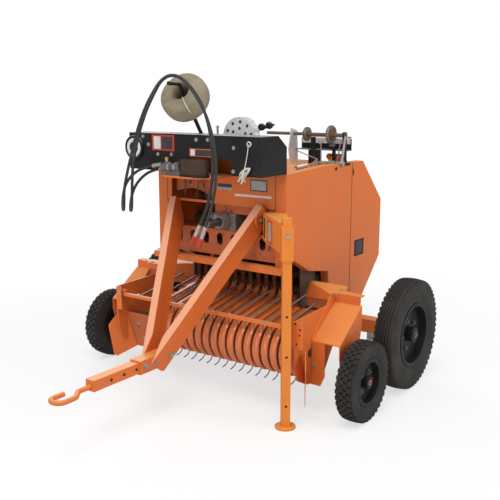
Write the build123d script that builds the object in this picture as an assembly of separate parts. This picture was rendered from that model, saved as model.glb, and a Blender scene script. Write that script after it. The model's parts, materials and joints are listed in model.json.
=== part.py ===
from build123d import *
import math
import os

# Small round baler on four wheels, with its drawbar, pickup and twine box.
# Millimetres. +X is the machine's left side, -Y is forward, +Z is up from the ground.
# Places are measured from the main axle: x from the machine's middle, y from the axle line
# and z from the ground. The last step moves every piece along Y by frame_shift, so that the
# origin lies under the middle of the machine's length.

# Main wheels
tyre_radius = 285.0
tyre_width = 106.0
rim_radius = 152.0
wheel_x = 786.0
main_hub_half = 48.0
axle_radius = 16.0
hub_clearance = 0.08

# Gauge wheels of the pickup
gauge_radius = 191.0
gauge_width = 88.0
gauge_rim_radius = 101.0
gauge_x = 805.0
gauge_y = -511.0
gauge_axle_radius = 12.5

# Bale chamber, an octagon at the rear with a straight hood in front
chamber_half = 400.0
side_wall = 46.0
chamber_y = 52.0
chamber_z = 738.0
chamber_inradius = 395.0
seam_y = 95.0
seam_gap = 8.0
front_y = -539.0
hood_front_z = 1118.0
hood_knee_y = -233.0
side_proud = 12.0
sheet = 5.0
roller_pitch_radius = 330.0
roller_radius = 40.0
end_gap = 0.3

# Tailgate hinge, over the top of the seam
hinge_y = 88.0
hinge_z = 1158.0
hinge_pin_radius = 8.0
hinge_clearance = 0.1

# Axle beam
beam_size = 70.0
beam_z = 295.0

# Pickup
reel_y = -605.0
reel_z = 307.0
band_radius = 125.0
band_depth = 10.0
band_width = 36.0
band_pitch = 50.0
band_count = 18
band_first_x = 550.0
band_rise = 10.0
tine_tip_radius = 165.0
tine_bar_radius = 78.0
tine_size = 4.0
reel_shaft_radius = 20.0
pickup_left_x = 572.0
pickup_right_x = -535.0
pickup_plate = 6.0
pivot_y = -285.0
pivot_z = 450.0
pivot_radius = 20.0
crossbar_y = -720.0
crossbar_z = 448.0
crossbar_left_x = 538.0
crossbar_right_x = -500.0
crossbar_size = 16.0
rod_radius = 5.0

# Wings that carry the gauge wheels
wing_inner = 580.0
wing_outer = 728.0
wing_front_y = -590.0
wing_front_z = 363.0
wing_rear_y = -385.0
wing_rear_z = 508.0

# Drawbar
arm_width = 40.0
arm_depth = 100.0
arm_top = (255.0, -575.0, 895.0)
arm_foot = (24.0, -1030.0, 282.0)
socket_half = 32.0
socket_rear_y = -985.0
socket_front_y = -1165.0
drawbar_z = 280.0
drawbar_half = 25.0
drawbar_front_y = -1437.0
hook_bar_radius = 11.5
hook_front_y = drawbar_front_y - 203

# Stand
stand_x = 562.0
stand_y = -786.0
stand_size = 40.0
stand_turn = 41.0
sleeve_size = 52.0
sleeve_low_z = 776.0
sleeve_high_z = 930.0
stand_clearance = 0.5
foot_radius = 48.0

# Twine box
box_half = chamber_half
box_front_y = -750.0
box_low_z = 1122.0
box_high_z = 1301.0
box_sheet = 4.0

# Hydraulic hoses, as points of their routes
hose_radius = 7.0
hose_a_points = [
    (-205, -795, 1148),
    (-280, -796, 1132),
    (-346, -799, 1094),
    (-386, -804, 1046),
    (-397, -811, 994),
    (-376, -838, 944),
    (-334, -876, 928),
    (-290, -913, 946),
    (-267, -934, 996),
    (-264, -934, 1046),
    (-258, -918, 1118),
    (-246, -898, 1204),
    (-224, -890, 1286),
    (-198, -880, 1366),
    (-166, -868, 1442),
    (-124, -856, 1510),
    (-92, -850, 1548),
    (-46, -845, 1572),
    (6, -842, 1568),
    (54, -841, 1538),
    (98, -841, 1500),
    (144, -842, 1440),
    (176, -843, 1366),
    (196, -844, 1286),
    (204, -845, 1204),
    (202, -846, 1122),
    (188, -846, 1042),
    (162, -846, 966),
    (126, -846, 898),
]
hose_b_points = [
    (-184, -771, 1133),
    (-244, -772, 1119),
    (-300, -777, 1084),
    (-335, -788, 1040),
    (-341, -808, 992),
    (-321, -840, 944),
    (-279, -880, 930),
    (-235, -917, 948),
    (-212, -938, 998),
    (-208, -938, 1052),
    (-208, -934, 1118),
    (-202, -926, 1196),
    (-186, -917, 1276),
    (-164, -906, 1354),
    (-134, -896, 1430),
    (-94, -886, 1500),
    (-66, -881, 1542),
    (-22, -876, 1568),
    (30, -874, 1566),
    (80, -873, 1536),
    (128, -873, 1488),
    (176, -874, 1424),
    (212, -875, 1352),
    (236, -876, 1272),
    (248, -877, 1190),
    (246, -878, 1108),
    (232, -878, 1030),
    (210, -878, 964),
    (184, -878, 900),
]
coupler_radius = 11.0
coupler_length = 62.0
cap_radius = 13.0
cap_length = 44.0

# Trip cord and its hank, in front of the twine box
cord_radius = 2.0
cord_points = [(336, -758.2, 1268), (335, -762, 1233), (330, -765, 1198), (322, -766, 1163)]


def block(x0, x1, y0, y1, z0, z1):
    return Pos((x0 + x1) / 2, (y0 + y1) / 2, (z0 + z1) / 2) * Box(x1 - x0, y1 - y0, z1 - z0)


def side_profile(points, x0, x1):
    """A flat outline of (y, z) points, thick from x0 to x1."""
    face = Polygon(*points, align=None)
    return extrude(Plane.YZ.offset(x0) * face, x1 - x0, dir=(1, 0, 0))


def front_profile(points, y0, y1):
    """A flat outline of (x, z) points, thick from y0 to y1."""
    plane = Plane(origin=(0, y0, 0), x_dir=(1, 0, 0), z_dir=(0, -1, 0))
    return extrude(plane * Polygon(*points, align=None), y1 - y0, dir=(0, 1, 0))


def plan_profile(points, z0, z1):
    """A flat outline of (x, y) points, thick from z0 to z1."""
    return extrude(Plane.XY.offset(z0) * Polygon(*points, align=None), z1 - z0, dir=(0, 0, 1))


def rod(start, end, radius):
    start, end = Vector(*start), Vector(*end)
    plane = Plane(origin=start, z_dir=end - start)
    return plane * Cylinder(radius, (end - start).length, align=(Align.CENTER, Align.CENTER, Align.MIN))


def across(x0, x1, y, z, radius):
    return rod((x0, y, z), (x1, y, z), radius)


def ring_x(profile, x, y, z):
    """A closed (x, r) outline turned about a line along X."""
    return Pos(x, y, z) * revolve(Polygon(*profile, align=None), axis=Axis.X)


def mirrored(shape):
    return mirror(shape, about=Plane.YZ)


def join(pieces):
    """Solids that don't touch, kept in one node."""
    return Compound(children=[solid for piece in pieces for solid in piece.solids()])


pieces = {}


def keep(name, shape):
    pieces[name] = shape


def keep_pair(name, left_shape):
    pieces[name + "_left"] = left_shape
    pieces[name + "_right"] = mirrored(left_shape)


# Chamber outlines
half_side = chamber_inradius * math.tan(math.radians(22.5))
chamber_top_z = chamber_z + chamber_inradius
chamber_low_z = chamber_z - chamber_inradius


def rear_corners(inradius):
    """The four rear corners of the octagon, from the bottom up."""
    step = inradius * math.tan(math.radians(22.5))
    return [
        (chamber_y + step, chamber_z - inradius),
        (chamber_y + inradius, chamber_z - step),
        (chamber_y + inradius, chamber_z + step),
        (chamber_y + step, chamber_z + inradius),
    ]


seam_front = seam_y - seam_gap / 2
seam_rear = seam_y + seam_gap / 2
side_inner = chamber_half - side_wall

# Lower front edge of the side, over the crop inlet
inlet_edge = [(front_y, 735.0), (-325.0, 621.0), (-140.0, 586.0), (-134.0, 531.0)]
front_outline = (
    [(seam_front, chamber_low_z), (seam_front, chamber_top_z)]
    + [(hood_knee_y, chamber_top_z), (front_y, hood_front_z)]
    + inlet_edge
    + [(chamber_y - half_side, chamber_low_z)]
)
keep_pair("side_panel", side_profile(front_outline, side_inner, chamber_half))

tail_outline = [(seam_rear, chamber_low_z)] + rear_corners(chamber_inradius) + [(seam_rear, chamber_top_z)]
keep_pair("tailgate_side", side_profile(tail_outline, side_inner, chamber_half))

# Sheets between the sides
shell_out = chamber_inradius - side_proud
shell_in = shell_out - sheet
tail_sheet = (
    [(seam_rear, chamber_z - shell_out)]
    + rear_corners(shell_out)
    + [(seam_rear, chamber_z + shell_out), (seam_rear, chamber_z + shell_in)]
    + rear_corners(shell_in)[::-1]
    + [(seam_rear, chamber_z - shell_in)]
)
tail_shell = side_profile(tail_sheet, -side_inner, side_inner)

hood_z = chamber_z + shell_out
hood_drop = chamber_top_z - hood_front_z
hood_sheet = [
    (seam_front, hood_z),
    (hood_knee_y, hood_z),
    (front_y + sheet, hood_z - hood_drop),
    (front_y + sheet, hood_z - hood_drop - sheet),
    (hood_knee_y, hood_z - sheet),
    (seam_front, hood_z - sheet),
]
hood = side_profile(hood_sheet, -side_inner, side_inner)

# Chamber rollers, each at an angle round the chamber's middle
front_roller_angles = [95, 119, 143, 167, 190, 247, 268]
tail_roller_angles = [-62, -37, -12, 13, 38, 63]
roller_half = side_inner - end_gap


def roller(angle):
    y = chamber_y + roller_pitch_radius * math.cos(math.radians(angle))
    z = chamber_z + roller_pitch_radius * math.sin(math.radians(angle))
    return across(-roller_half, roller_half, y, z, roller_radius)


keep("front_rollers", join([roller(angle) for angle in front_roller_angles]))
keep("tailgate_rollers", join([roller(angle) for angle in tail_roller_angles]))

# Hinge: eyes on the hood, arms on the tailgate and one pin each side
hinge_eye_radius = 16.0
hinge_eye_x = side_inner - 54
hinge_eye_width = 30.0
pin_hole = hinge_pin_radius + hinge_clearance


def hinge_eye(x0, x1, foot_y0, foot_y1):
    foot = side_profile(
        [(foot_y0, hood_z), (foot_y1, hood_z), (hinge_y + 6, hinge_z + 6), (hinge_y - 6, hinge_z + 6)], x0, x1
    )
    return foot + across(x0, x1, hinge_y, hinge_z, hinge_eye_radius)


hinge_pin_half = hinge_eye_width * 1.5 + 8
fixed_eye = hinge_eye(
    hinge_eye_x - hinge_eye_width / 2, hinge_eye_x + hinge_eye_width / 2, hinge_y - 60, seam_front
)
pin = across(hinge_eye_x - hinge_pin_half, hinge_eye_x + hinge_pin_half, hinge_y, hinge_z, hinge_pin_radius)
fixed_hinge = fixed_eye + pin
keep("chamber_hood", hood + fixed_hinge + mirrored(fixed_hinge))
arm_gap = 0.5
eye_half = hinge_eye_width / 2
arm_places = [
    (hinge_eye_x - 3 * eye_half, hinge_eye_x - eye_half - arm_gap),
    (hinge_eye_x + eye_half + arm_gap, hinge_eye_x + 3 * eye_half),
]
for x0, x1 in arm_places:
    arm = hinge_eye(x0, x1, seam_rear, hinge_y + 70)
    arm = arm - across(x0 - 1, x1 + 1, hinge_y, hinge_z, pin_hole)
    tail_shell = tail_shell + arm + mirrored(arm)
keep("tailgate_shell", tail_shell)

# Front posts, panels and beams; posts and panel also carry the twine box
post_width = 60.0
post_depth = 40.0
post_low_z = 640.0
post_sheet = 4.0
post_face_y = front_y - post_sheet
web_high_z = hood_front_z - side_proud - sheet - 2
panel_high_z = 1180.0
post_inner = chamber_half - post_width - 0.5
post = block(post_inner, chamber_half, post_face_y, front_y, post_low_z, panel_high_z)
web = block(side_inner - 8, side_inner, front_y, front_y + post_depth, 740.0, web_high_z)
keep("front_posts", join([post + web, mirrored(post + web)]))

panel_low_z = 905.0
recess_left_x = -190.0
upper_panel = block(-post_inner, post_inner, post_face_y, front_y, panel_low_z, panel_high_z)
upper_panel = upper_panel - block(
    -post_inner + 30, recess_left_x, post_face_y - 5, front_y + 5, panel_low_z + 25, 1085.0
)
# Shelf of the hydraulic valve, with a rounded front
shelf_high_z = 1106.0
shelf_front_y = -800.0
valve_shelf = plan_profile(
    [
        (115, post_face_y + 1),
        (115, shelf_front_y + 45),
        (85, shelf_front_y + 12),
        (30, shelf_front_y),
        (-125, shelf_front_y),
        (-165, shelf_front_y + 18),
        (-185, shelf_front_y + 55),
        (-185, post_face_y + 1),
    ],
    shelf_high_z - 8,
    shelf_high_z,
)
keep("upper_front_panel", upper_panel + valve_shelf)

guard_low_z = 690.0
guard_high_z = 820.0
guard_half = post_inner + 6
guard_rear_y = front_y + 3
slot_pitch = 87.0
slot_width = 36.0
slot_low_z = 742.0
slot_high_z = 803.0
guard = block(-guard_half, guard_half, front_y, guard_rear_y, guard_low_z, guard_high_z)
for n in range(-3, 4):
    x = n * slot_pitch
    z0 = slot_low_z + slot_width / 2
    z1 = slot_high_z - slot_width / 2
    guard = guard - block(x - slot_width / 2, x + slot_width / 2, front_y - 1, guard_rear_y + 1, z0, z1)
    for z in (z0, z1):
        guard = guard - rod((x, front_y - 1, z), (x, guard_rear_y + 1, z), slot_width / 2)
shelf = block(-guard_half, guard_half, front_y, front_y + 150, guard_high_z - 8, guard_high_z)
keep("slotted_guard", guard + shelf)

beam_front_y = -590.0
front_angle = side_profile(
    [
        (beam_front_y, 676.0),
        (post_face_y, 676.0),
        (post_face_y, 670.0),
        (beam_front_y + 6, 670.0),
        (beam_front_y + 6, 646.0),
        (beam_front_y, 646.0),
    ],
    -chamber_half,
    chamber_half,
)
keep("front_beam", front_angle)

# Gearbox and its input shaft
gearbox_x = 25.0
gearbox_z = 866.0
gearbox_high_z = guard_high_z + 83
gearbox = block(gearbox_x - 70, gearbox_x + 70, front_y + 10, front_y + 150, guard_high_z, gearbox_high_z)
gearbox = gearbox + rod((gearbox_x, front_y - 40, gearbox_z), (gearbox_x, front_y + 12, gearbox_z), 34)
gearbox = gearbox + rod((gearbox_x, front_y + 1, gearbox_z), (gearbox_x, front_y + 12, gearbox_z), 44)
lug_z = gearbox_z + 24
gearbox = gearbox + rod((gearbox_x - 72, front_y - 24, lug_z), (gearbox_x - 72, front_y + 30, lug_z), 14)
gearbox = gearbox + block(gearbox_x - 78, gearbox_x - 20, front_y - 8, front_y + 30, lug_z - 20, lug_z + 8)
keep("gearbox", gearbox)
pto_radius = 17.4
keep(
    "pto_shaft",
    rod((gearbox_x, front_y - 130, gearbox_z), (gearbox_x, front_y - 40, gearbox_z), pto_radius),
)

# Axle beam with its stub axles and the seats of the chamber
beam_top_z = beam_z + beam_size / 2
beam_half = wheel_x - 2 * main_hub_half
axle = block(-beam_half, beam_half, -beam_size / 2, beam_size / 2, beam_z - beam_size / 2, beam_top_z)
stub_end = wheel_x + tyre_width / 2 - 4
for side in (-1, 1):
    axle = axle + across(side * (beam_half - 5), side * stub_end, 0, tyre_radius, axle_radius)
    seat_x = side * (side_inner + side_wall / 2)
    axle = axle + block(seat_x - 23, seat_x + 23, -35, 35, beam_top_z - 1, chamber_low_z)
hub_plate = block(beam_half - 12, beam_half, -beam_size / 2, beam_size / 2, tyre_radius - 30, beam_top_z)
axle = axle + hub_plate + mirrored(hub_plate)
keep("axle_beam", axle)


# Wheels
def wheel(radius, width, rim_r, rim_width, hub_r, hub_half, bore_r, x, y):
    tread_half = width * 0.40
    tyre_outline = [
        (-rim_width / 2 + 4.3, rim_r + end_gap),
        (-rim_width / 2 + 4.3, rim_r + 12.5),
        (-width * 0.50, rim_r + (radius - rim_r) * 0.40),
        (-width * 0.49, rim_r + (radius - rim_r) * 0.74),
        (-tread_half, radius - radius * 0.018),
        (-tread_half * 0.50, radius),
    ]
    right_half = [(-px, pr) for px, pr in tyre_outline[::-1]]
    tyre = ring_x(tyre_outline + right_half, x, y, radius)
    lip = 12.0
    wall = 5.0
    rim_outline = [
        (-rim_width / 2, rim_r + lip),
        (-rim_width / 2 + 4, rim_r + lip),
        (-rim_width / 2 + 4, rim_r),
        (rim_width / 2 - 4, rim_r),
        (rim_width / 2 - 4, rim_r + lip),
        (rim_width / 2, rim_r + lip),
        (rim_width / 2, rim_r - wall),
        (8, rim_r - wall),
        (8, hub_r),
        (hub_half, hub_r),
        (hub_half, bore_r),
        (-hub_half, bore_r),
        (-hub_half, hub_r),
        (0, hub_r),
        (0, rim_r - wall),
        (-rim_width / 2, rim_r - wall),
    ]
    rim = ring_x(rim_outline, x, y, radius)
    return tyre, rim


main_tyre, main_rim = wheel(
    tyre_radius, tyre_width, rim_radius, 96, 38, main_hub_half, axle_radius + hub_clearance, wheel_x, 0
)
keep_pair("main_tyre", main_tyre)
keep_pair("main_rim", main_rim)
gauge_tyre, gauge_rim = wheel(
    gauge_radius,
    gauge_width,
    gauge_rim_radius,
    78,
    28,
    40,
    gauge_axle_radius + hub_clearance,
    gauge_x,
    gauge_y,
)
keep_pair("gauge_tyre", gauge_tyre)
keep_pair("gauge_rim", gauge_rim)


# Pickup bands: round the reel, then a rising run, then up into the inlet
def reel_point(radius, angle):
    return (
        reel_y + radius * math.cos(math.radians(angle)),
        reel_z + radius * math.sin(math.radians(angle)),
    )


band_top_angle = 90 + band_rise
band_low_angle = 290
band_end_y = -440.0
finger_y = -352.0
finger_top_z = 585.0
finger_width = 24.0
finger_thick = 9.0

# Rail that carries the bands' lower ends, behind the circle of the tine tips
rail_y = -505.0
rail_z = 155.0
rail_half = 6.0
rail_front_y = rail_y - rail_half


def band_edge(radius):
    """Arc and rising run of one edge of a band, as drawn in (y, z)."""
    start = reel_point(radius, band_low_angle)
    middle = reel_point(radius, 195)
    top = reel_point(radius, band_top_angle)
    run = band_end_y - top[0]
    end = (band_end_y, top[1] + run * math.tan(math.radians(band_rise)))
    return start, middle, top, end


def band(x):
    out_start, out_mid, out_top, out_end = band_edge(band_radius)
    in_start, in_mid, in_top, in_end = band_edge(band_radius - band_depth)
    lines = [ThreePointArc(out_start, out_mid, out_top), ThreePointArc(in_start, in_mid, in_top)]
    lines += [Line(out_start, in_start), Polyline(out_top, out_end, in_end, in_top)]
    face = make_face(lines)
    strip = extrude(Plane.YZ.offset(x - band_width / 2) * face, band_width, dir=(1, 0, 0))
    foot = [out_start, (rail_front_y, rail_z - rail_half), (rail_front_y, rail_z + rail_half), in_start]
    strip = strip + side_profile(foot, x - band_width / 2, x + band_width / 2)
    if abs(x) < side_inner - band_width:
        knee_z = out_end[1]
        finger = [
            out_end,
            (finger_y - 30, knee_z + 10),
            (finger_y - 10, knee_z + 24),
            (finger_y, knee_z + 48),
            (finger_y + 12, knee_z + 48),
            (finger_y + 10, knee_z + 22),
            (finger_y - 22, knee_z - 2),
            in_end,
        ]
        strip = strip + side_profile(finger, x - finger_width / 2, x + finger_width / 2)
        upright_half = finger_thick / 2
        strip = strip + block(
            x - upright_half, x + upright_half, finger_y - 4, finger_y + 20, knee_z + 30, finger_top_z
        )
    return strip


band_places = [band_first_x - n * band_pitch for n in range(band_count)]

band_set = block(
    pickup_right_x, pickup_left_x, rail_front_y, rail_y + rail_half, rail_z - rail_half, rail_z + rail_half
)
for x in band_places:
    band_set = band_set + band(x)
keep("pickup_bands", band_set)

# End plates of the pickup, with the bearings of the reel and a flange turned in at the front
plate_front_y = crossbar_y - 20
flange_low_z = 365.0
flange_high_z = 490.0
flange_width = 30.0
flange_outside = 42.0
plate_outline = [
    (rail_y + 16, rail_z - 13),
    (rail_y - 34, rail_z - 13),
    reel_point(150, 260),
    reel_point(150, 225),
    reel_point(132, 190),
    (plate_front_y, flange_low_z),
    (plate_front_y, flange_high_z),
    (plate_front_y + 44, flange_high_z + 2),
    (-440, 500),
    (-300, 500),
    (-300, 400),
    (-430, 230),
]
reel_bore = reel_shaft_radius + hinge_clearance
for side, face_x in (("left", pickup_left_x), ("right", pickup_right_x - pickup_plate)):
    plate = side_profile(plate_outline, face_x, face_x + pickup_plate)
    plate = plate - across(face_x - 1, face_x + pickup_plate + 1, reel_y, reel_z, reel_bore)
    if side == "left":
        flange_x0, flange_x1 = face_x - flange_width, face_x + pickup_plate + flange_outside
    else:
        flange_x0, flange_x1 = face_x, face_x + pickup_plate + flange_width
    plate = plate + block(
        flange_x0, flange_x1, plate_front_y, plate_front_y + 4, flange_low_z, flange_high_z
    )
    keep("pickup_end_plate_" + side, plate)

# Crossbar over the pickup, with crop rods behind it
half_bar = crossbar_size / 2
crossbar = block(
    crossbar_right_x,
    crossbar_left_x,
    crossbar_y - half_bar,
    crossbar_y + half_bar,
    crossbar_z - half_bar,
    crossbar_z + half_bar,
)
for x0, x1 in ((crossbar_left_x - 2, pickup_left_x), (pickup_right_x, crossbar_right_x + 2)):
    crossbar = crossbar + block(
        x0, x1, crossbar_y - 3, crossbar_y + 20, crossbar_z - half_bar, crossbar_z + 20
    )
keep("crossbar", crossbar)
rod_pitch = 100.0
rod_first_x = 500.0
rod_count = 10
rod_back = 355.0
rod_back_first = 285.0
rod_lift = 62.0
rods = []
for n in range(rod_count):
    x = rod_first_x - n * rod_pitch
    start = (x, crossbar_y + half_bar, crossbar_z)
    back = rod_back if n else rod_back_first
    rods.append(rod(start, (x + 8, crossbar_y + back, crossbar_z + rod_lift * back / rod_back), rod_radius))
keep("crop_rods", join(rods) - crossbar)

# Pivot tube of the pickup, hung from the chamber sides, and the pan under the inlet
hanger_outline = [(-330, 640), (-180, 600), (-226, 480), (-122, 430), (-122, 400), (-250, 425), (-320, 425)]
hanger = side_profile(hanger_outline, side_inner - 10, side_inner)
tube = across(-side_inner + 5, side_inner - 5, pivot_y, pivot_z, pivot_radius)
inlet_pan = side_profile(
    [(-244, 452), (-122, 412), (-122, 408), (-245, 447)], -side_inner + 8, side_inner - 8
)
keep("pickup_pivot", hanger + mirrored(hanger) + tube + inlet_pan)

# Rear beam of the pickup, with two lugs round the pivot tube and the sheet behind the reel
rear_beam_y = pivot_y - 115
rear_beam = block(pickup_right_x, pickup_left_x, rear_beam_y - 20, rear_beam_y + 20, 360, 400)
lug = side_profile(
    [
        (rear_beam_y - 10, 400),
        (rear_beam_y - 10, 360),
        (pivot_y + 23, pivot_z - 26),
        (pivot_y + 23, pivot_z + 26),
        (pivot_y - 25, pivot_z + 26),
    ],
    296,
    312,
)
lug = lug - across(290, 320, pivot_y, pivot_z, pivot_radius + hinge_clearance)
rail_rear_y = rail_y + rail_half
back_sheet = side_profile(
    [
        (rail_rear_y, rail_z - rail_half),
        (rail_rear_y + 5, rail_z - rail_half),
        (rear_beam_y - 21, 254),
        (rear_beam_y + 8, 361),
        (rear_beam_y + 4, 361),
        (rear_beam_y - 25, 256),
        (rail_rear_y, rail_z),
    ],
    pickup_right_x,
    pickup_left_x,
)
keep("pickup_rear_beam", rear_beam + lug + mirrored(lug) + back_sheet)

# Tine reel, with no tines behind the drive cover at the machine's right
bearing_gap = 6.0
reel_left_x = pickup_left_x - bearing_gap
reel_right_x = band_places[-1] - band_pitch / 2 - 8
reel = across(
    pickup_right_x - pickup_plate - 2, pickup_left_x + pickup_plate + 2, reel_y, reel_z, reel_shaft_radius
)
for x in (reel_right_x, (reel_left_x + reel_right_x) / 2 - 4, reel_left_x - 8):
    reel = reel + across(x, x + 8, reel_y, reel_z, tine_bar_radius + 14)
tine_angles = [-105, 15, 135]
gap_places = [x - band_pitch / 2 for x in band_places]
tine_path = [(tine_bar_radius, 0), (130.0, 0), (tine_tip_radius - 1, -12)]


def tine(x, angle):
    """A tine of spring wire, straight from its bar and then bent forward to its tip."""
    half = tine_size / 2
    front = [reel_point(reach, angle + bend - math.degrees(half / reach)) for reach, bend in tine_path]
    back = [reel_point(reach, angle + bend + math.degrees(half / reach)) for reach, bend in tine_path]
    return side_profile(front + back[::-1], x - half, x + half)


tines = []
for angle in tine_angles:
    y0, z0 = reel_point(tine_bar_radius, angle)
    reel = reel + across(reel_right_x, reel_left_x, y0, z0, 8)
    for x in gap_places:
        tines.append(tine(x, angle))
reel = reel + tines
keep("tine_reel", reel)

# Cover of the reel's drive, a sheet leaning back at its foot
cover_top = (-675.5, 339.0)
cover_foot = (-622.5, 137.0)
cover = side_profile(
    [cover_top, cover_foot, (cover_foot[0] + 4, cover_foot[1]), (cover_top[0] + 4, cover_top[1])],
    pickup_right_x,
    reel_right_x - 8,
)
cover = cover + side_profile(
    [cover_top, cover_foot, (-560, 150), (-500, 300), (-600, 400), (cover_top[0], 390)],
    reel_right_x - 14,
    reel_right_x - 8,
)
cover = cover - across(reel_right_x - 20, reel_right_x, reel_y, reel_z, reel_bore)
keep("drive_cover", cover)

# Wings
wing_top = [
    (wing_front_y, wing_front_z),
    (wing_rear_y, wing_rear_z),
    (wing_rear_y, wing_rear_z - sheet),
    (wing_front_y, wing_front_z - sheet),
]
wing = side_profile(wing_top, wing_inner, wing_outer)
wing_side = [
    (wing_front_y, wing_front_z),
    (wing_rear_y, wing_rear_z),
    (wing_rear_y, 400),
    (-440, 191 - 34),
    (gauge_y - 40, 191 - 34),
    (wing_front_y, 300),
]
wing = wing + side_profile(wing_side, wing_outer - sheet, wing_outer)
ridge = [(wing_front_y, wing_front_z - sheet), (wing_front_y, wing_front_z + 6)]
ridge += [(-425, 546), (wing_rear_y, 540)]
ridge += [(wing_rear_y, wing_rear_z - sheet)]
wing = wing + side_profile(ridge, pickup_left_x + pickup_plate, wing_inner + 3)
wing = wing + across(
    wing_outer - 1, gauge_x + gauge_width / 2 - 4, gauge_y, gauge_radius, gauge_axle_radius
)
wing = wing + across(wing_outer - 1, wing_outer + 10, gauge_y, gauge_radius, 30)

# Guide that turns the crop from the wing's rear end into the inlet, under a flat top
guide_high_z = 550.0
guide_inner = Vector(365, -263, guide_high_z - 3)
guide_outer = Vector(580, -425, guide_high_z - 3)
guide_fall = Vector(0, -32, -72)
guide_face = make_face(
    Polyline(
        guide_inner, guide_outer, guide_outer + guide_fall * 0.35, guide_inner + guide_fall, close=True
    )
)
wing = wing + extrude(guide_face, 4)
guide_top = [(368, -265), (580, -425), (582, -386), (720, -386), (720, -345)]
guide_top += [(600, -330), (575, -240), (372, -238)]
wing = wing + plan_profile(guide_top, guide_high_z - 5, guide_high_z)
wing = wing + block(wing_inner, 720, wing_rear_y - 3, wing_rear_y + 1, wing_rear_z - sheet, guide_high_z)
skirt = [(wing_inner, wing_front_z - 1), (650, wing_front_z - 1), (650, 200), (628, 150), (wing_inner, 150)]
wing = wing + front_profile(skirt, wing_front_y - 2, wing_front_y + 2)
keep("wing_left", wing)
spacer = block(-wing_inner - 1, pickup_right_x - pickup_plate, -560, -400, 380, 430)
keep("wing_right", mirrored(wing) + spacer)

# Deflectors: upright plates that flare outward and forward from the pickup's ends
flare = 32.0
flare_y = -664.0
deflector_outline = [(-46, 137), (14, 339), (80, 308), (110, 269), (85, 106), (68, 91)]
deflectors = []
for side, x in ((1, pickup_left_x + 18), (-1, pickup_right_x)):
    way = Vector(side * math.sin(math.radians(flare)), -math.cos(math.radians(flare)), 0)
    plane = Plane(origin=(x, flare_y, 0), x_dir=way, z_dir=way.cross(Vector(0, 0, 1)))
    sheet_face = plane * Polygon(*deflector_outline, align=None)
    deflectors.append(extrude(sheet_face, 1.5, both=True))
keep("deflectors", join(deflectors) - pieces["pickup_end_plate_left"] - pieces["pickup_end_plate_right"])

# Drawbar arms
arm_from, arm_to = Vector(*arm_top), Vector(*arm_foot)
arm_line = (arm_to - arm_from).normalized()
frame_up = Vector(1, 0, 0).cross(Vector(0, arm_line.Y, arm_line.Z)).normalized()
if frame_up.Z < 0:
    frame_up = frame_up * -1
arm_plane = Plane(origin=arm_from - arm_line * 60, x_dir=frame_up, z_dir=arm_line)
arm_length = (arm_to - arm_from).length + 130
arm = extrude(arm_plane * Rectangle(arm_depth, arm_width), arm_length)
far = 500.0
arm = arm - block(-far, far, post_face_y, 0, arm_top[2] - 195, arm_top[2] + 305)
arm_end = (socket_front_y - 200, socket_rear_y + 185)
arm = arm - block(-far, socket_half, *arm_end, drawbar_z - 180, drawbar_z + 220)
arm = arm - block(-far, far, *arm_end, drawbar_z - 180, drawbar_z - 55)
cheek_y = arm_top[1]
cheek_z = arm_top[2] + 6
cheek = across(arm_top[0] + arm_width / 2 - 2, arm_top[0] + arm_width / 2 + 5, cheek_y, cheek_z, 44)
arm = arm + (cheek - block(0, far, post_face_y, 0, arm_top[2] - 195, arm_top[2] + 305))
keep_pair("drawbar_arm", arm)

socket = block(
    -socket_half, socket_half, socket_front_y, socket_rear_y,
    drawbar_z - socket_half, drawbar_z + socket_half,
)
inner = drawbar_half + end_gap
socket = socket - block(
    -inner, inner, socket_front_y - 1, socket_rear_y + 1, drawbar_z - inner, drawbar_z + inner
)
keep("drawbar_socket", socket)
keep(
    "drawbar_tube",
    block(
        -drawbar_half,
        drawbar_half,
        drawbar_front_y,
        socket_rear_y + 10,
        drawbar_z - drawbar_half,
        drawbar_z + drawbar_half,
    ),
)
hook_z = drawbar_z - 6
hook_line = FilletPolyline(
    (0, drawbar_front_y, hook_z),
    (0, drawbar_front_y - 65, hook_z),
    (42, drawbar_front_y - 115, hook_z),
    (42, hook_front_y, hook_z),
    (-28, hook_front_y, hook_z),
    (-28, hook_front_y + 84, hook_z),
    radius=[24, 24, 34, 34],
)
hook_plane = Plane(origin=hook_line @ 0, z_dir=hook_line % 0)
keep("tow_hook", sweep(hook_plane * Circle(hook_bar_radius), path=hook_line))

# Stand: sleeve on a sloping bracket plate, and the leg
turn = Rot(0, 0, stand_turn)
sleeve_hole = stand_size + 2 * stand_clearance
sleeve = Pos(stand_x, stand_y, (sleeve_low_z + sleeve_high_z) / 2) * turn * (
    Box(sleeve_size, sleeve_size, sleeve_high_z - sleeve_low_z)
    - Box(sleeve_hole, sleeve_hole, sleeve_high_z)
)
leg_high_z = 962.0
foot_height = 8.0
leg = block(-stand_size / 2, stand_size / 2, -stand_size / 2, stand_size / 2, foot_height - 1, leg_high_z)
foot = Pos(stand_x, stand_y, foot_height / 2) * Cylinder(foot_radius, foot_height)
keep("stand_leg", Pos(stand_x, stand_y, 0) * turn * leg + foot)


def stand_point(along, out):
    """A plan point, along the bracket from the stand and out from it."""
    cosine, sine = math.cos(math.radians(stand_turn)), math.sin(math.radians(stand_turn))
    return (stand_x - cosine * along - sine * out, stand_y + sine * along - cosine * out)


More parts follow.
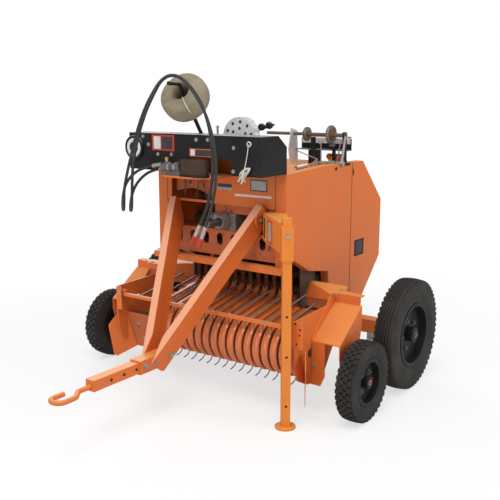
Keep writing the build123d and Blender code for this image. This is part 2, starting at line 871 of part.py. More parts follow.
bracket_out = sleeve_size / 2
bracket_gap = 38.0
bracket_end_x = arm_top[0] + arm_width / 2 + bracket_gap
bracket_run = stand_x - bracket_end_x - math.sin(math.radians(stand_turn)) * (bracket_out - 3)
bracket_reach = bracket_run / math.cos(math.radians(stand_turn)) + 4
bracket_low_z = 808.0
bracket_high_z = 934.0
bracket = plan_profile(
    [
        stand_point(bracket_out - 2, bracket_out - 6),
        stand_point(bracket_out - 2, bracket_out),
        stand_point(bracket_reach, bracket_out),
        stand_point(bracket_reach, bracket_out - 6),
    ],
    bracket_low_z,
    bracket_high_z,
)
bracket_end = stand_point(bracket_reach - 4, bracket_out - 3)
back = block(
    bracket_end[0] - 3, bracket_end[0] + 3, bracket_end[1], post_face_y, bracket_low_z, bracket_high_z
)
top_plate = plan_profile(
    [
        (bracket_end[0] - 3, post_face_y),
        (bracket_end[0] - 3, bracket_end[1]),
        stand_point(bracket_out, bracket_out),
        stand_point(bracket_out, -bracket_out),
        (chamber_half, post_face_y),
    ],
    bracket_high_z - 1,
    bracket_high_z + 5,
)
keep("stand_bracket", sleeve + bracket + back + top_plate)

# Twine box: front, top and two ends, with a flange at each end on the posts, open below
box_rear_y = post_face_y
box_solid = block(-box_half, box_half, box_front_y, box_rear_y, box_low_z, box_high_z)
box_solid = box_solid - block(
    -box_half + box_sheet,
    box_half - box_sheet,
    box_front_y + box_sheet,
    box_rear_y + 1,
    box_low_z - 1,
    box_high_z - box_sheet,
)
notch_left_x = 232.0
notch_high_z = 1196.0
box_solid = box_solid - block(
    20, notch_left_x, box_front_y - 1, box_front_y + 9, box_low_z - 1, notch_high_z
)
chamfer_front_y = -615.0
chamfer_low_z = 1247.0
box_solid = box_solid - side_profile(
    [(chamfer_front_y, box_high_z + 1), (box_rear_y + 1, box_high_z + 1), (box_rear_y + 1, chamfer_low_z)],
    -box_half - 1,
    box_half + 1,
)
slant = side_profile(
    [
        (chamfer_front_y, box_high_z),
        (box_rear_y, chamfer_low_z),
        (box_rear_y, chamfer_low_z - box_sheet),
        (chamfer_front_y, box_high_z - box_sheet),
    ],
    -box_half,
    box_half,
)
box_solid = box_solid + slant
eyelet_x = cord_points[0][0]
eyelet_z = cord_points[0][2]
box_solid = box_solid + rod((eyelet_x, box_front_y - 6, eyelet_z), (eyelet_x, box_front_y, eyelet_z), 7)
for x0, x1 in ((-box_half, -box_half + 45), (box_half - 45, box_half)):
    box_solid = box_solid + block(x0, x1, box_rear_y - box_sheet, box_rear_y, box_low_z, panel_high_z)
keep("twine_box", box_solid)

pulley_y = -700.0
pulley_z = 1228.0
keep("side_pulley", across(-box_half - 22, -box_half, pulley_y, pulley_z, 46))

# Perforated drum behind the box
drum_x = 125.0
drum_y0 = -543.0
drum_y1 = -500.0
drum_z = 1284.0
drum_radius = 95.0
drum_wall = 3.0
drum = rod((drum_x, drum_y0, drum_z), (drum_x, drum_y1, drum_z), drum_radius)
drum = drum - rod(
    (drum_x, drum_y0 + drum_wall, drum_z), (drum_x, drum_y1 + 1, drum_z), drum_radius - drum_wall
)
hole_block = Box(9, 11, 20)
for row_y in (drum_y0 + 13, drum_y0 + 31):
    for step in range(9):
        place = Pos(drum_x, row_y, drum_z) * Rot(0, -80 + step * 20, 0) * Pos(0, 0, drum_radius)
        drum = drum - place * hole_block
drum = drum + block(drum_x - 30, drum_x + 30, drum_y1 - 6, drum_y1, drum_z - drum_radius + 2, drum_z + 20)
drum_post = block(drum_x - 30, drum_x + 30, drum_y1 - 1, drum_y1 + 10, hood_z - hood_drop + 3, drum_z + 20)
keep("perforated_drum", drum + drum_post)

# Cross shaft of the twine gear, on two brackets
shaft_y = 28.0
shaft_z = 1277.0
shaft = across(-100, 398, shaft_y, shaft_z, 9)
shaft = shaft + across(150, 166, shaft_y, shaft_z, 38) + across(298, 314, shaft_y, shaft_z, 50)
keep("cross_shaft", shaft)
fan = side_profile(
    [(-10, hood_z), (70, hood_z), (60, shaft_z + 16), (0, shaft_z + 30), (-22, 1200)], 70, 76
)
end = side_profile(
    [(0, chamber_top_z), (50, chamber_top_z), (44, shaft_z + 16), (12, shaft_z + 16)], 384, 390
)
hole = across(60, 400, shaft_y, shaft_z, 9 + hinge_clearance)
tray_y0, tray_y1 = shaft_y + 18, shaft_y + 82
tray_z0, tray_z1 = shaft_z - 85, shaft_z - 22
tray_outline = [
    (tray_y0, tray_z0),
    (tray_y1, tray_z0),
    (tray_y1, tray_z1),
    (tray_y1 - 4, tray_z1),
    (tray_y1 - 4, tray_z0 + 4),
    (tray_y0, tray_z0 + 4),
]
tray = side_profile(tray_outline, 76, 385)
keep("fan_bracket", fan - hole)
keep("shaft_brackets", (end - hole) + tray)

# Twine rod, bent level at its tip, and the ball of twine that hangs on it
rod_foot = Vector(-42, -624, box_high_z)
rod_knee = rod_foot + Vector(-12, -142, 232)
rod_tip = rod_knee + Vector(10, -86, 2)
twine_rod_radius = 9.0
rod_axis = (rod_knee - rod_foot).normalized()
rod_line = FilletPolyline(rod_foot - rod_axis * 20, rod_knee, rod_tip, radius=14)
twine_rod = sweep(Plane(origin=rod_line @ 0, z_dir=rod_axis) * Circle(twine_rod_radius), path=rod_line)
twine_rod = twine_rod - block(-200, 100, -700, -500, box_high_z - 60, box_high_z)
ball_radius = 117.0
ball_half = 60.0
ball_along = 198.0
ball_axis = Vector(0.12, -0.81, 0.57).normalized()
ball_centre = rod_foot + rod_axis * ball_along
ball_tilt = math.radians(ball_axis.get_angle(rod_axis))
ball_bore = ball_half * math.tan(ball_tilt) + twine_rod_radius / math.cos(ball_tilt) + end_gap
ball_outline = [
    (ball_bore, -ball_half),
    (ball_radius * 0.66, -ball_half),
    (ball_radius * 0.90, -ball_half * 0.68),
    (ball_radius, -ball_half * 0.24),
    (ball_radius, ball_half * 0.24),
    (ball_radius * 0.90, ball_half * 0.68),
    (ball_radius * 0.66, ball_half),
    (ball_bore, ball_half),
]
ball = revolve(Plane.XZ * Polygon(*ball_outline, align=None), axis=Axis.Z)
keep("twine_ball", Plane(origin=ball_centre, z_dir=ball_axis) * ball)
collar_radius = 45.0
collar_top = ball_centre - ball_axis * (ball_half + end_gap)
keep("twine_rod", twine_rod + rod(collar_top - ball_axis * 5, collar_top, collar_radius))

# Hydraulic valve on the front of the box
casting_radius = 25.0
valve_y = box_front_y - casting_radius
fitting_radius = 11.0
fitting_end_x = -160.0
valve = across(-172, -40, valve_y, 1146, casting_radius) + rod(
    (-131, valve_y, 1146), (-131, valve_y, 1184), 13
)
casting_left_x = 106.0
casting_plan = [
    (-42, box_front_y),
    (-42, valve_y - 12),
    (-22, valve_y - 23),
    (casting_left_x - 30, valve_y - 23),
    (casting_left_x, valve_y - 4),
    (casting_left_x, box_front_y),
]
valve = valve + plan_profile(casting_plan, shelf_high_z, 1188.0)
valve = valve + block(-160, -40, valve_y - 12, valve_y + 12, shelf_high_z, 1140)
for points in (hose_a_points, hose_b_points):
    start, second = Vector(*points[0]), Vector(*points[1])
    fitting_line = (start - second).normalized()
    fitting_length = (fitting_end_x - start.X) / fitting_line.X
    valve = valve + rod(start, start + fitting_line * fitting_length, fitting_radius)
keep("hydraulic_valve", valve)


# Hoses
def tube_path(points):
    spots = [Vector(*p) for p in points]
    radii = []
    for a, b, c in zip(spots, spots[1:], spots[2:]):
        turned = (b - a).get_angle(c - b)
        shorter = min((b - a).length, (c - b).length)
        radii.append(0.45 * shorter / math.tan(math.radians(turned / 2)))
    return FilletPolyline(*spots, radius=radii), radii


def tube_solid(label, points, radius):
    path, radii = tube_path(points)
    solid = sweep(Plane(origin=path @ 0, z_dir=path % 0) * Circle(radius), path=path)
    print(label, "length", round(path.length), "smallest radius", round(min(radii), 1))
    print(
        label, "volume over section times length",
        round(solid.volume / (math.pi * radius**2 * path.length), 5),
    )
    return solid


caps = []
for label, points in (("a", hose_a_points), ("b", hose_b_points)):
    keep("hose_" + label, tube_solid("hose_" + label, points, hose_radius))
    last, before = Vector(*points[-1]), Vector(*points[-2])
    way = (last - before).normalized()
    coupler_end = last + way * coupler_length
    keep("coupler_" + label, rod(last, coupler_end, coupler_radius))
    caps.append(rod(coupler_end, coupler_end + way * cap_length, cap_radius))
keep("dust_caps", join(caps))

# Trip cord, from an eyelet in the box down to its hank
keep("trip_cord", tube_solid("trip_cord", cord_points, cord_radius))
hank_x, hank_y, hank_top_z = cord_points[-1]
hank_outline = [(-10, 0), (10, 0), (24, -26), (20, -62), (8, -80), (-8, -80), (-22, -60), (-24, -28)]
hank = front_profile(
    [(hank_x - 2 + px, hank_top_z + pz) for px, pz in hank_outline], hank_y - 12, hank_y + 12
)
keep("rope_hank", hank)

# Origin under the middle of the length
tail_rear_y = chamber_y + chamber_inradius
hook_tip_y = hook_front_y - hook_bar_radius
frame_shift = -(tail_rear_y + hook_tip_y) / 2

os.makedirs("parts", exist_ok=True)
for name, shape in pieces.items():
    export_step(Pos(0, frame_shift, 0) * shape, "parts/" + name + ".step")
print(len(pieces), "nodes, frame shift", frame_shift)
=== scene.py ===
# %% [markdown]
# # A small towed round baler
# The machine stands on two road wheels, two gauge wheels and a parking stand. Its solids come
# from the CAD model, and this lesson dresses them: paint, tyres, hoses, twine, bolts and plates.
# Nothing in the frame is moved. Every new piece rides on the body that carries it.

# %% Frame
import json
import math
import bmesh
import bpy
from mathutils import Matrix, Vector


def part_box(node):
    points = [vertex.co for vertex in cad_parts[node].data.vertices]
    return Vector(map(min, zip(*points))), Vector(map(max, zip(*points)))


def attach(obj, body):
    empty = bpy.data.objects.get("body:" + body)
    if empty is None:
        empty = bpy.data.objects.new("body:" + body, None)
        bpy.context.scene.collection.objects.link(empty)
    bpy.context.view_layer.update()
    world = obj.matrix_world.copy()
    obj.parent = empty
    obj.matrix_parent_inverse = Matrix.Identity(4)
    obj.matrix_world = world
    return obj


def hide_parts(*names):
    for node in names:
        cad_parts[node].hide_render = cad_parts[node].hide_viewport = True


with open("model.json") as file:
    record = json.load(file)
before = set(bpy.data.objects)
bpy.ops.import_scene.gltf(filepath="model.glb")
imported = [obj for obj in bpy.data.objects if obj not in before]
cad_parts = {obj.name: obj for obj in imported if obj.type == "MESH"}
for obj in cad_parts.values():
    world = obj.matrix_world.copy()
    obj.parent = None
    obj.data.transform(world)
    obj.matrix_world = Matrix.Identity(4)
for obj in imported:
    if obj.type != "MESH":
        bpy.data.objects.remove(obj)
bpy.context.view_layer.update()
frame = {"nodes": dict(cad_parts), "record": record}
nodes = frame["nodes"]
scene = bpy.context.scene
print("nodes", len(nodes))

# %% [markdown]
# The drawings of a wheeled machine are dimensioned from its axle, so places here are too:
# x to the machine's left, y backward from the axle line, z up from the ground, in metres.

# %% Places from the axle
axle_low, axle_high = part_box("axle_beam")
axle_y = (axle_low.y + axle_high.y) / 2


def at(x, y, z):
    return Vector((x, y + axle_y, z))


print("axle line at y", round(axle_y, 4))

# %% [markdown]
# The camera stands in front of the machine's left corner, a little above the twine box, with a
# lens of about 55 mm.

# %% Camera
camera_data = bpy.data.cameras.new("camera")
camera_data.sensor_width = 36.0
camera_data.lens = 54.99
camera_turn = math.radians(35.7)
camera_dip = math.radians(11.5)
camera = bpy.data.objects.new("camera", camera_data)
camera.location = at(2.3271, -3.5166, 1.4839)
camera.rotation_euler = (math.pi / 2 - camera_dip, 0, camera_turn)
scene.collection.objects.link(camera)
scene.camera = camera
print("camera at", [round(v, 3) for v in camera.location])

# %% [markdown]
# Four soft lamps light the machine: the key above its front, a weaker one at its left, and one
# each for the shaded front and for the back. The sky looks pure white to the camera but gives
# less light than that, and the floor is one wide disc just under the ground.


# %% Lamps, sky and floor
def add_lamp(name, place, target, size, power):
    data = bpy.data.lights.new(name, "AREA")
    data.size = size
    data.energy = power
    lamp = bpy.data.objects.new(name, data)
    lamp.location = place
    lamp.rotation_euler = (Vector(target) - Vector(place)).to_track_quat("-Z", "Y").to_euler()
    scene.collection.objects.link(lamp)
    return lamp


def add_node(tree, kind, values=()):
    """A shader node with inputs set by their names."""
    node = tree.nodes.new("ShaderNode" + kind)
    for name, value in dict(values).items():
        node.inputs[name].default_value = value
    return node


middle = (0, 0, 0.7)
lamps = [
    add_lamp("key_lamp", (1.5, -3.0, 6.0), middle, 3.5, 225),
    add_lamp("side_lamp", (5.5, 1.5, 3.2), middle, 3.0, 108),
    add_lamp("front_lamp", (-0.8, -6.0, 1.8), middle, 3.0, 62),
    add_lamp("back_lamp", (-4.5, 3.5, 3.5), middle, 3.0, 100),
]
white = (1, 1, 1, 1)
sky = bpy.data.worlds.new("sky")
sky.use_nodes = True
tree = sky.node_tree
sky_light = tree.nodes["Background"]
sky_light.inputs["Color"].default_value = white
sky_light.inputs["Strength"].default_value = 0.44
seen_sky = add_node(tree, "Background", {"Color": white, "Strength": 1.0})
ray = add_node(tree, "LightPath")
either = add_node(tree, "MixShader")
tree.links.new(ray.outputs["Is Camera Ray"], either.inputs["Fac"])
tree.links.new(sky_light.outputs[0], either.inputs[1])
tree.links.new(seen_sky.outputs[0], either.inputs[2])
tree.links.new(either.outputs[0], tree.nodes["World Output"].inputs["Surface"])
scene.world = sky
scene.view_settings.view_transform = "Standard"

floor_radius = 40.0
floor_drop = 0.0005
floor_bm = bmesh.new()
bmesh.ops.create_circle(floor_bm, cap_ends=True, segments=96, radius=floor_radius)
floor_mesh = bpy.data.meshes.new("floor")
floor_bm.to_mesh(floor_mesh)
floor_bm.free()
floor = bpy.data.objects.new("floor", floor_mesh)
floor.location.z = -floor_drop
scene.collection.objects.link(floor)
print("lamps", len(lamps))

# %% [markdown]
# Farm paint is never one flat colour: the coat has faded in patches and dust lies on it. A
# painted picture could show that, but a noise needs no unwrapping and fits any piece. Each finish
# is a noise in object coordinates that mixes the coat with a duller tone, and some have a fine
# bump. Rust is a third tone that only shows where a finer noise runs high. A last tone goes on
# what faces up, which the surface normal tells: on the black paint it is pale dust, and on the
# orange coats it is painted light, a paler orange for the tops that the sky lights.

# %% Finishes
spot_fineness = 3.1


def mix_in(tree, tone, other, share):
    """Mixes another colour into a tone, by the share that a node puts out."""
    mix = tree.nodes.new("ShaderNodeMix")
    mix.data_type = "RGBA"
    mix.inputs["B"].default_value = (*other, 1)
    tree.links.new(share, mix.inputs["Factor"])
    tree.links.new(tone, mix.inputs["A"])
    return mix.outputs["Result"]


def finish(name, colour, worn, rough, metal=0.0, scale=6.0, amount=0.5, spots=None, bump=0.0,
           fine=300.0, gloss=0.3, dust_and_top_light=None, dust_and_top_light_share=0.4):
    material = bpy.data.materials.new(name)
    material.use_nodes = True
    tree = material.node_tree
    link = tree.links.new
    shader = tree.nodes["Principled BSDF"]
    shader.inputs["Roughness"].default_value = rough
    shader.inputs["Metallic"].default_value = metal
    shader.inputs["Specular IOR Level"].default_value = gloss
    place = add_node(tree, "TexCoord")
    cloud = add_node(tree, "TexNoise", {"Scale": scale, "Detail": 6.0})
    ramp = add_node(tree, "ValToRGB")
    ramp.color_ramp.elements[0].position = 0.5 - amount / 2
    ramp.color_ramp.elements[0].color = (*colour, 1)
    ramp.color_ramp.elements[1].position = 0.95
    ramp.color_ramp.elements[1].color = (*worn, 1)
    link(place.outputs["Object"], cloud.inputs["Vector"])
    link(cloud.outputs["Fac"], ramp.inputs["Fac"])
    tone = ramp.outputs["Color"]
    if spots is not None:
        coarse = add_node(tree, "TexNoise", {"Scale": scale * spot_fineness, "Detail": 8.0})
        gate = add_node(tree, "ValToRGB")
        gate.color_ramp.elements[0].position = 0.60
        gate.color_ramp.elements[1].position = 0.68
        link(place.outputs["Object"], coarse.inputs["Vector"])
        link(coarse.outputs["Fac"], gate.inputs["Fac"])
        tone = mix_in(tree, tone, spots, gate.outputs["Color"])
    # What faces up gets the last tone: pale dust on the black paint, painted light on the orange coats.
    if dust_and_top_light is not None:
        parts = add_node(tree, "SeparateXYZ")
        upward_share = add_node(tree, "MapRange", {"From Min": 0.3, "From Max": 1.0, "To Max": dust_and_top_light_share})
        link(place.outputs["Normal"], parts.inputs["Vector"])
        link(parts.outputs["Z"], upward_share.inputs["Value"])
        tone = mix_in(tree, tone, dust_and_top_light, upward_share.outputs["Result"])
    link(tone, shader.inputs["Base Color"])
    if bump > 0:
        grain = add_node(tree, "TexNoise", {"Scale": fine})
        relief = add_node(tree, "Bump", {"Strength": bump, "Distance": 0.002})
        link(place.outputs["Object"], grain.inputs["Vector"])
        link(grain.outputs["Fac"], relief.inputs["Height"])
        link(relief.outputs["Normal"], shader.inputs["Normal"])
    return material


rust = (0.20, 0.075, 0.035)
coats = {
    # On the orange coats the upward tone is painted light: a paler orange for the sky-lit tops, and on the
    # arms a painted highlight.
    "orange_paint": ((0.72, 0.165, 0.028), (0.62, 0.160, 0.045), 0.42,
        dict(bump=0.05, dust_and_top_light=(0.84, 0.38, 0.11), dust_and_top_light_share=0.6)),
    "arm_orange": ((0.74, 0.165, 0.030), (0.64, 0.160, 0.045), 0.40,
        dict(bump=0.05, dust_and_top_light=(0.93, 0.56, 0.38), dust_and_top_light_share=1.3)),
    "stand_orange": ((0.77, 0.225, 0.024), (0.68, 0.20, 0.040), 0.42,
        dict(bump=0.05, dust_and_top_light=(0.86, 0.42, 0.12), dust_and_top_light_share=0.6)),
    "dusty_orange": ((0.58, 0.13, 0.030), (0.40, 0.13, 0.06), 0.6,
        dict(scale=9, amount=0.8, spots=rust, bump=0.1)),
    "black_paint": ((0.010, 0.010, 0.011), (0.026, 0.025, 0.024), 0.55,
        dict(bump=0.05, gloss=0.16, dust_and_top_light=(0.42, 0.42, 0.42), dust_and_top_light_share=0.7)),
    "rim_black": ((0.010, 0.010, 0.011), (0.030, 0.028, 0.026), 0.55, dict(bump=0.05, gloss=0.18)),
    "tyre_rubber": ((0.018, 0.0175, 0.017), (0.058, 0.052, 0.045), 0.85, dict(scale=9, bump=0.2)),
    "bare_steel": ((0.40, 0.38, 0.35), (0.22, 0.18, 0.15), 0.38, dict(metal=0.9, scale=20, spots=rust)),
    "worn_steel": ((0.16, 0.12, 0.09), (0.09, 0.06, 0.045), 0.55, dict(metal=0.6, scale=25, spots=rust)),
    "grey_casting": ((0.36, 0.355, 0.34), (0.17, 0.14, 0.12), 0.6,
        dict(metal=0.3, scale=30, spots=rust, bump=0.3)),
    "silver_paint": ((0.74, 0.75, 0.78), (0.60, 0.58, 0.57), 0.40, dict(metal=0.25, scale=20)),
    "valve_steel": ((0.075, 0.036, 0.022), (0.035, 0.026, 0.022), 0.6, dict(scale=30, bump=0.3, gloss=0.2)),
    "plated_steel": ((0.56, 0.55, 0.53), (0.34, 0.32, 0.30), 0.35, dict(metal=0.8, scale=30)),
    "hose_rubber": ((0.022, 0.024, 0.024), (0.045, 0.046, 0.044), 0.5, dict(scale=30)),
    "red_cap": ((0.50, 0.03, 0.012), (0.40, 0.06, 0.04), 0.5, dict(scale=30)),
    "twine": ((0.36, 0.315, 0.215), (0.20, 0.170, 0.115), 0.9,
        dict(scale=22, amount=0.7, bump=0.7, fine=160, gloss=0.1)),
    "rope": ((0.74, 0.70, 0.62), (0.55, 0.51, 0.44), 0.9, dict(scale=60)),
    "white_plate": ((0.74, 0.74, 0.73), (0.60, 0.60, 0.59), 0.45, dict(scale=30)),
    "grey_plate": ((0.40, 0.39, 0.36), (0.30, 0.29, 0.27), 0.45, dict(scale=30)),
    "yellow_plate": ((0.80, 0.42, 0.02), (0.70, 0.38, 0.06), 0.45, dict(scale=30)),
    "red_plate": ((0.62, 0.035, 0.015), (0.5, 0.06, 0.03), 0.45, dict(scale=30)),
    "stud_steel": ((0.20, 0.19, 0.18), (0.10, 0.09, 0.08), 0.5, dict(metal=0.6, scale=30)),
    "band_orange": ((0.66, 0.155, 0.028), (0.45, 0.13, 0.05), 0.24, dict(scale=14, bump=0.05, gloss=0.65)),
    "label_dark": ((0.035, 0.035, 0.040), (0.06, 0.06, 0.065), 0.5, dict(scale=30)),
    "brass": ((0.62, 0.42, 0.14), (0.45, 0.30, 0.12), 0.35, dict(metal=0.8, scale=30)),
    "pulley_grey": ((0.23, 0.23, 0.21), (0.14, 0.12, 0.10), 0.5, dict(metal=0.4, scale=30)),
    "rust_brown": ((0.22, 0.10, 0.035), (0.12, 0.06, 0.03), 0.7, dict(scale=40)),
    # A near black for joints and marks, also used as painted shade on the bands' inner faces and in holes.
    "dark_inside": ((0.03, 0.022, 0.018), (0.02, 0.016, 0.014), 0.8, dict(scale=20)),
}
finishes = {
    name: finish(name, colour, worn, rough, **more)
    for name, (colour, worn, rough, more) in coats.items()
}
print("finishes", len(finishes))

# %% [markdown]
# The photograph stands on pure white with a soft shadow. The floor is a pale matt tone that
# also glows to the camera, and more so the farther it lies from the machine, so that only the
# shadow stays darker than white.

# %% Floor tone
floor_tone = finish("floor_tone", (0.86, 0.86, 0.86), (0.84, 0.84, 0.84), 0.95, scale=0.5)
tree = floor_tone.node_tree
link = tree.links.new
glow = add_node(tree, "Emission", {"Color": white, "Strength": 1.05})
ray = add_node(tree, "LightPath")
share = add_node(tree, "Math")
share.operation = "MULTIPLY"
reach = add_node(tree, "VectorMath")
reach.operation = "LENGTH"
fade = add_node(tree, "MapRange", {"From Min": 1.6, "From Max": 4.5, "To Min": 0.62, "To Max": 1.0})
place = add_node(tree, "TexCoord")
either = add_node(tree, "MixShader")
link(place.outputs["Object"], reach.inputs[0])
link(reach.outputs["Value"], fade.inputs["Value"])
link(ray.outputs["Is Camera Ray"], share.inputs[0])
link(fade.outputs["Result"], share.inputs[1])
link(share.outputs[0], either.inputs["Fac"])
link(tree.nodes["Principled BSDF"].outputs[0], either.inputs[1])
link(glow.outputs[0], either.inputs[2])
link(either.outputs[0], tree.nodes["Material Output"].inputs["Surface"])
floor_mesh.materials.append(floor_tone)
print("floor tone", floor_tone.name)

# %% [markdown]
# The CAD nodes that stay as they are take the finish of their slot in the record, apart from a
# few. Crop and soil have dulled the drive cover, the pickup's rear beam and the slotted guard.
# The arms carry a painted highlight, pale where they face up, the stand's orange is yellower, and
# the rims are a duller black. The rollers and the pickup's pivot are worn to bare steel.

# %% Paint on the CAD nodes
slot_of = {row["node"]: row["material_slot"] for row in frame["record"]["subparts"]}
worn_nodes = {
    "drive_cover": "dusty_orange",
    "pickup_rear_beam": "dusty_orange",
    "slotted_guard": "dusty_orange",
    # The arms' finish paints a pale highlight on what faces up.
    "drawbar_arm_left": "arm_orange",
    "drawbar_arm_right": "arm_orange",
    "stand_bracket": "stand_orange",
    "stand_leg": "stand_orange",
    "main_rim_left": "rim_black",
    "main_rim_right": "rim_black",
    "gauge_rim_left": "rim_black",
    "gauge_rim_right": "rim_black",
    "front_rollers": "worn_steel",
    "tailgate_rollers": "worn_steel",
    "pickup_pivot": "worn_steel",
}
for name, obj in nodes.items():
    obj.data.materials.clear()
    obj.data.materials.append(finishes[worn_nodes.get(name, slot_of[name])])
print("nodes painted", len(nodes))

# %% [markdown]
# A few small tools cover most fittings: a block, a rod, a bent wire, a sheet cut to an outline
# and a turned shape. Primitives could be added as objects and joined, but a tool that adds its
# shape to an open bmesh lets one piece hold many like solids without that. A last one turns the
# bmesh into an object that rides on its body.


# %% Shape tools
sharp_angle = math.radians(40)


def add_block(bm, low, high):
    low, high = Vector(low), Vector(high)
    verts = bmesh.ops.create_cube(bm, size=1.0)["verts"]
    bmesh.ops.scale(bm, vec=high - low, verts=verts)
    bmesh.ops.translate(bm, vec=(low + high) / 2, verts=verts)
    return verts


def add_rod(bm, start, end, radius, sides=24, end_radius=None):
    start, end = Vector(start), Vector(end)
    turn = (end - start).to_track_quat("Z", "Y").to_matrix().to_4x4()
    bmesh.ops.create_cone(
        bm, cap_ends=True, segments=sides, depth=(end - start).length,
        radius1=radius, radius2=radius if end_radius is None else end_radius,
        matrix=Matrix.Translation((start + end) / 2) @ turn,
    )


def add_wire(bm, spots, radius, sides, lap=0.0):
    """Rods from spot to spot, each run on past its end by a share of its length."""
    for here, there in zip(spots, spots[1:]):
        add_rod(bm, here, there + (there - here) * lap, radius, sides)


def add_rods(bm, rows):
    """Rods as rows of (start, end, radius, sides), with places from the axle."""
    for start, end, radius, sides in rows:
        add_rod(bm, at(*start), at(*end), radius, sides)


def add_blocks(bm, rows):
    """Blocks as rows of (low corner, high corner), with places from the axle."""
    for low, high in rows:
        add_block(bm, at(*low), at(*high))


def add_sheet(bm, outline, thickness):
    """A flat outline of points, thickened along a vector."""
    face = bm.faces.new([bm.verts.new(p) for p in outline])
    made = bmesh.ops.extrude_face_region(bm, geom=[face])["geom"]
    moved = [v for v in made if isinstance(v, bmesh.types.BMVert)]
    bmesh.ops.translate(bm, vec=Vector(thickness), verts=moved)
    return moved + list(face.verts)


def add_turned(bm, outline, centre, axis, steps):
    """A closed outline of (along, radius) points, turned all the way round an axis."""
    axis = Vector(axis).normalized()
    side = axis.orthogonal().normalized()
    verts = [bm.verts.new(Vector(centre) + axis * a + side * r) for a, r in outline]
    edges = [bm.edges.new(pair) for pair in zip(verts, verts[1:] + verts[:1])]
    bmesh.ops.spin(
        bm, geom=verts + edges, cent=Vector(centre), axis=axis, angle=math.tau, steps=steps, use_merge=True
    )


def add_bolt(bm, place, way, size):
    """A washer and a hexagon head that stands out along way."""
    place, way = Vector(place), Vector(way).normalized()
    add_rod(bm, place, place + way * size * 0.18, size * 1.15, 20)
    add_rod(bm, place + way * size * 0.18, place + way * size * 0.8, size * 0.85, 6)


def soften(bm, width, verts=None, segments=2):
    """Bevels what is sharp, of the whole piece or of the vertices given."""
    edges = bm.edges if verts is None else {e for v in verts for e in v.link_edges}
    sharp = [e for e in edges if len(e.link_faces) == 2 and e.calc_face_angle() > sharp_angle]
    bmesh.ops.bevel(bm, geom=sharp, offset=width, offset_type="OFFSET", affect="EDGES", segments=segments,
                    profile=0.5, material=-1, clamp_overlap=True)


def finish_piece(name, bm, tone, replaced=(), smooth=35, body="chassis"):
    """Closes a bmesh as a piece; smooth is the widest angle, in degrees, that shades round."""
    bmesh.ops.recalc_face_normals(bm, faces=bm.faces)
    mesh = bpy.data.meshes.new(name)
    bm.to_mesh(mesh)
    bm.free()
    mesh.materials.append(finishes[tone])
    if smooth:
        mesh.shade_smooth()
        mesh.set_sharp_from_angle(angle=math.radians(smooth))
    obj = bpy.data.objects.new(name, mesh)
    scene.collection.objects.link(obj)
    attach(obj, body)
    if replaced:
        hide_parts(*replaced)
    print(name, "faces", len(mesh.polygons))
    return obj


left = Vector((1, 0, 0))
rear = Vector((0, 1, 0))
up = Vector((0, 0, 1))
both_sides = ((1, "left"), (-1, "right"))
print("shape tools ready")

# %% [markdown]
# The two hydraulic hoses leave the valve, hang in a loop, and go up over the twine rod and
# down to their couplers, which hang free in their dust caps. Rods from point to point would
# show corners. A NURBS curve with the route's points as control points gives the smooth line of
# a real hose, and a round bevel gives its thickness.

# %% Routes of the hoses
hose_radius = 0.007
hose_routes = {
    "hose_a": [
        (-0.205, -0.795, 1.148), (-0.280, -0.796, 1.132), (-0.346, -0.799, 1.094),
        (-0.386, -0.804, 1.046), (-0.397, -0.811, 0.994), (-0.376, -0.838, 0.944),
        (-0.334, -0.876, 0.928), (-0.290, -0.913, 0.946), (-0.267, -0.934, 0.996),
        (-0.264, -0.934, 1.046), (-0.258, -0.918, 1.118), (-0.246, -0.898, 1.204),
        (-0.224, -0.890, 1.286), (-0.198, -0.880, 1.366), (-0.166, -0.868, 1.442),
        (-0.124, -0.856, 1.510), (-0.092, -0.850, 1.548), (-0.046, -0.845, 1.572),
        (0.006, -0.842, 1.568), (0.054, -0.841, 1.538), (0.098, -0.841, 1.500),
        (0.144, -0.842, 1.440), (0.176, -0.843, 1.366), (0.196, -0.844, 1.286),
        (0.204, -0.845, 1.204), (0.202, -0.846, 1.122), (0.188, -0.846, 1.042),
        (0.162, -0.846, 0.966), (0.126, -0.846, 0.898),
    ],
    "hose_b": [
        (-0.184, -0.771, 1.133), (-0.244, -0.772, 1.119), (-0.300, -0.777, 1.084),
        (-0.335, -0.788, 1.040), (-0.341, -0.808, 0.992), (-0.321, -0.840, 0.944),
        (-0.279, -0.880, 0.930), (-0.235, -0.917, 0.948), (-0.212, -0.938, 0.998),
        (-0.208, -0.938, 1.052), (-0.208, -0.934, 1.118), (-0.202, -0.926, 1.196),
        (-0.186, -0.917, 1.276), (-0.164, -0.906, 1.354), (-0.134, -0.896, 1.430),
        (-0.094, -0.886, 1.500), (-0.066, -0.881, 1.542), (-0.022, -0.876, 1.568),
        (0.030, -0.874, 1.566), (0.080, -0.873, 1.536), (0.128, -0.873, 1.488),
        (0.176, -0.874, 1.424), (0.212, -0.875, 1.352), (0.236, -0.876, 1.272),
        (0.248, -0.877, 1.190), (0.246, -0.878, 1.108), (0.232, -0.878, 1.030),
        (0.210, -0.878, 0.964), (0.184, -0.878, 0.900),
    ],
}


def draw_cord(name, points, radius, slot, body="chassis"):
    curve = bpy.data.curves.new(name, "CURVE")
    curve.dimensions = "3D"
    curve.bevel_depth = radius
    curve.bevel_resolution = 4
    curve.resolution_u = 8
    curve.use_fill_caps = True
    line = curve.splines.new("NURBS")
    line.points.add(len(points) - 1)
    for spot, place in zip(line.points, points):
        spot.co = (*place, 1)
    line.order_u = 3
    line.use_endpoint_u = True
    curve.materials.append(finishes[slot])
    obj = bpy.data.objects.new(name + "_line", curve)
    scene.collection.objects.link(obj)
    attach(obj, body)
    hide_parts(name)
    return obj


print("points", {name: len(points) for name, points in hose_routes.items()})

# %% [markdown]
# A coupler is a plated sleeve with a six-sided collar, and its red dust cap narrows to the end.
# Both are rods laid end to end along the hose's last direction, and they belong to their hose.

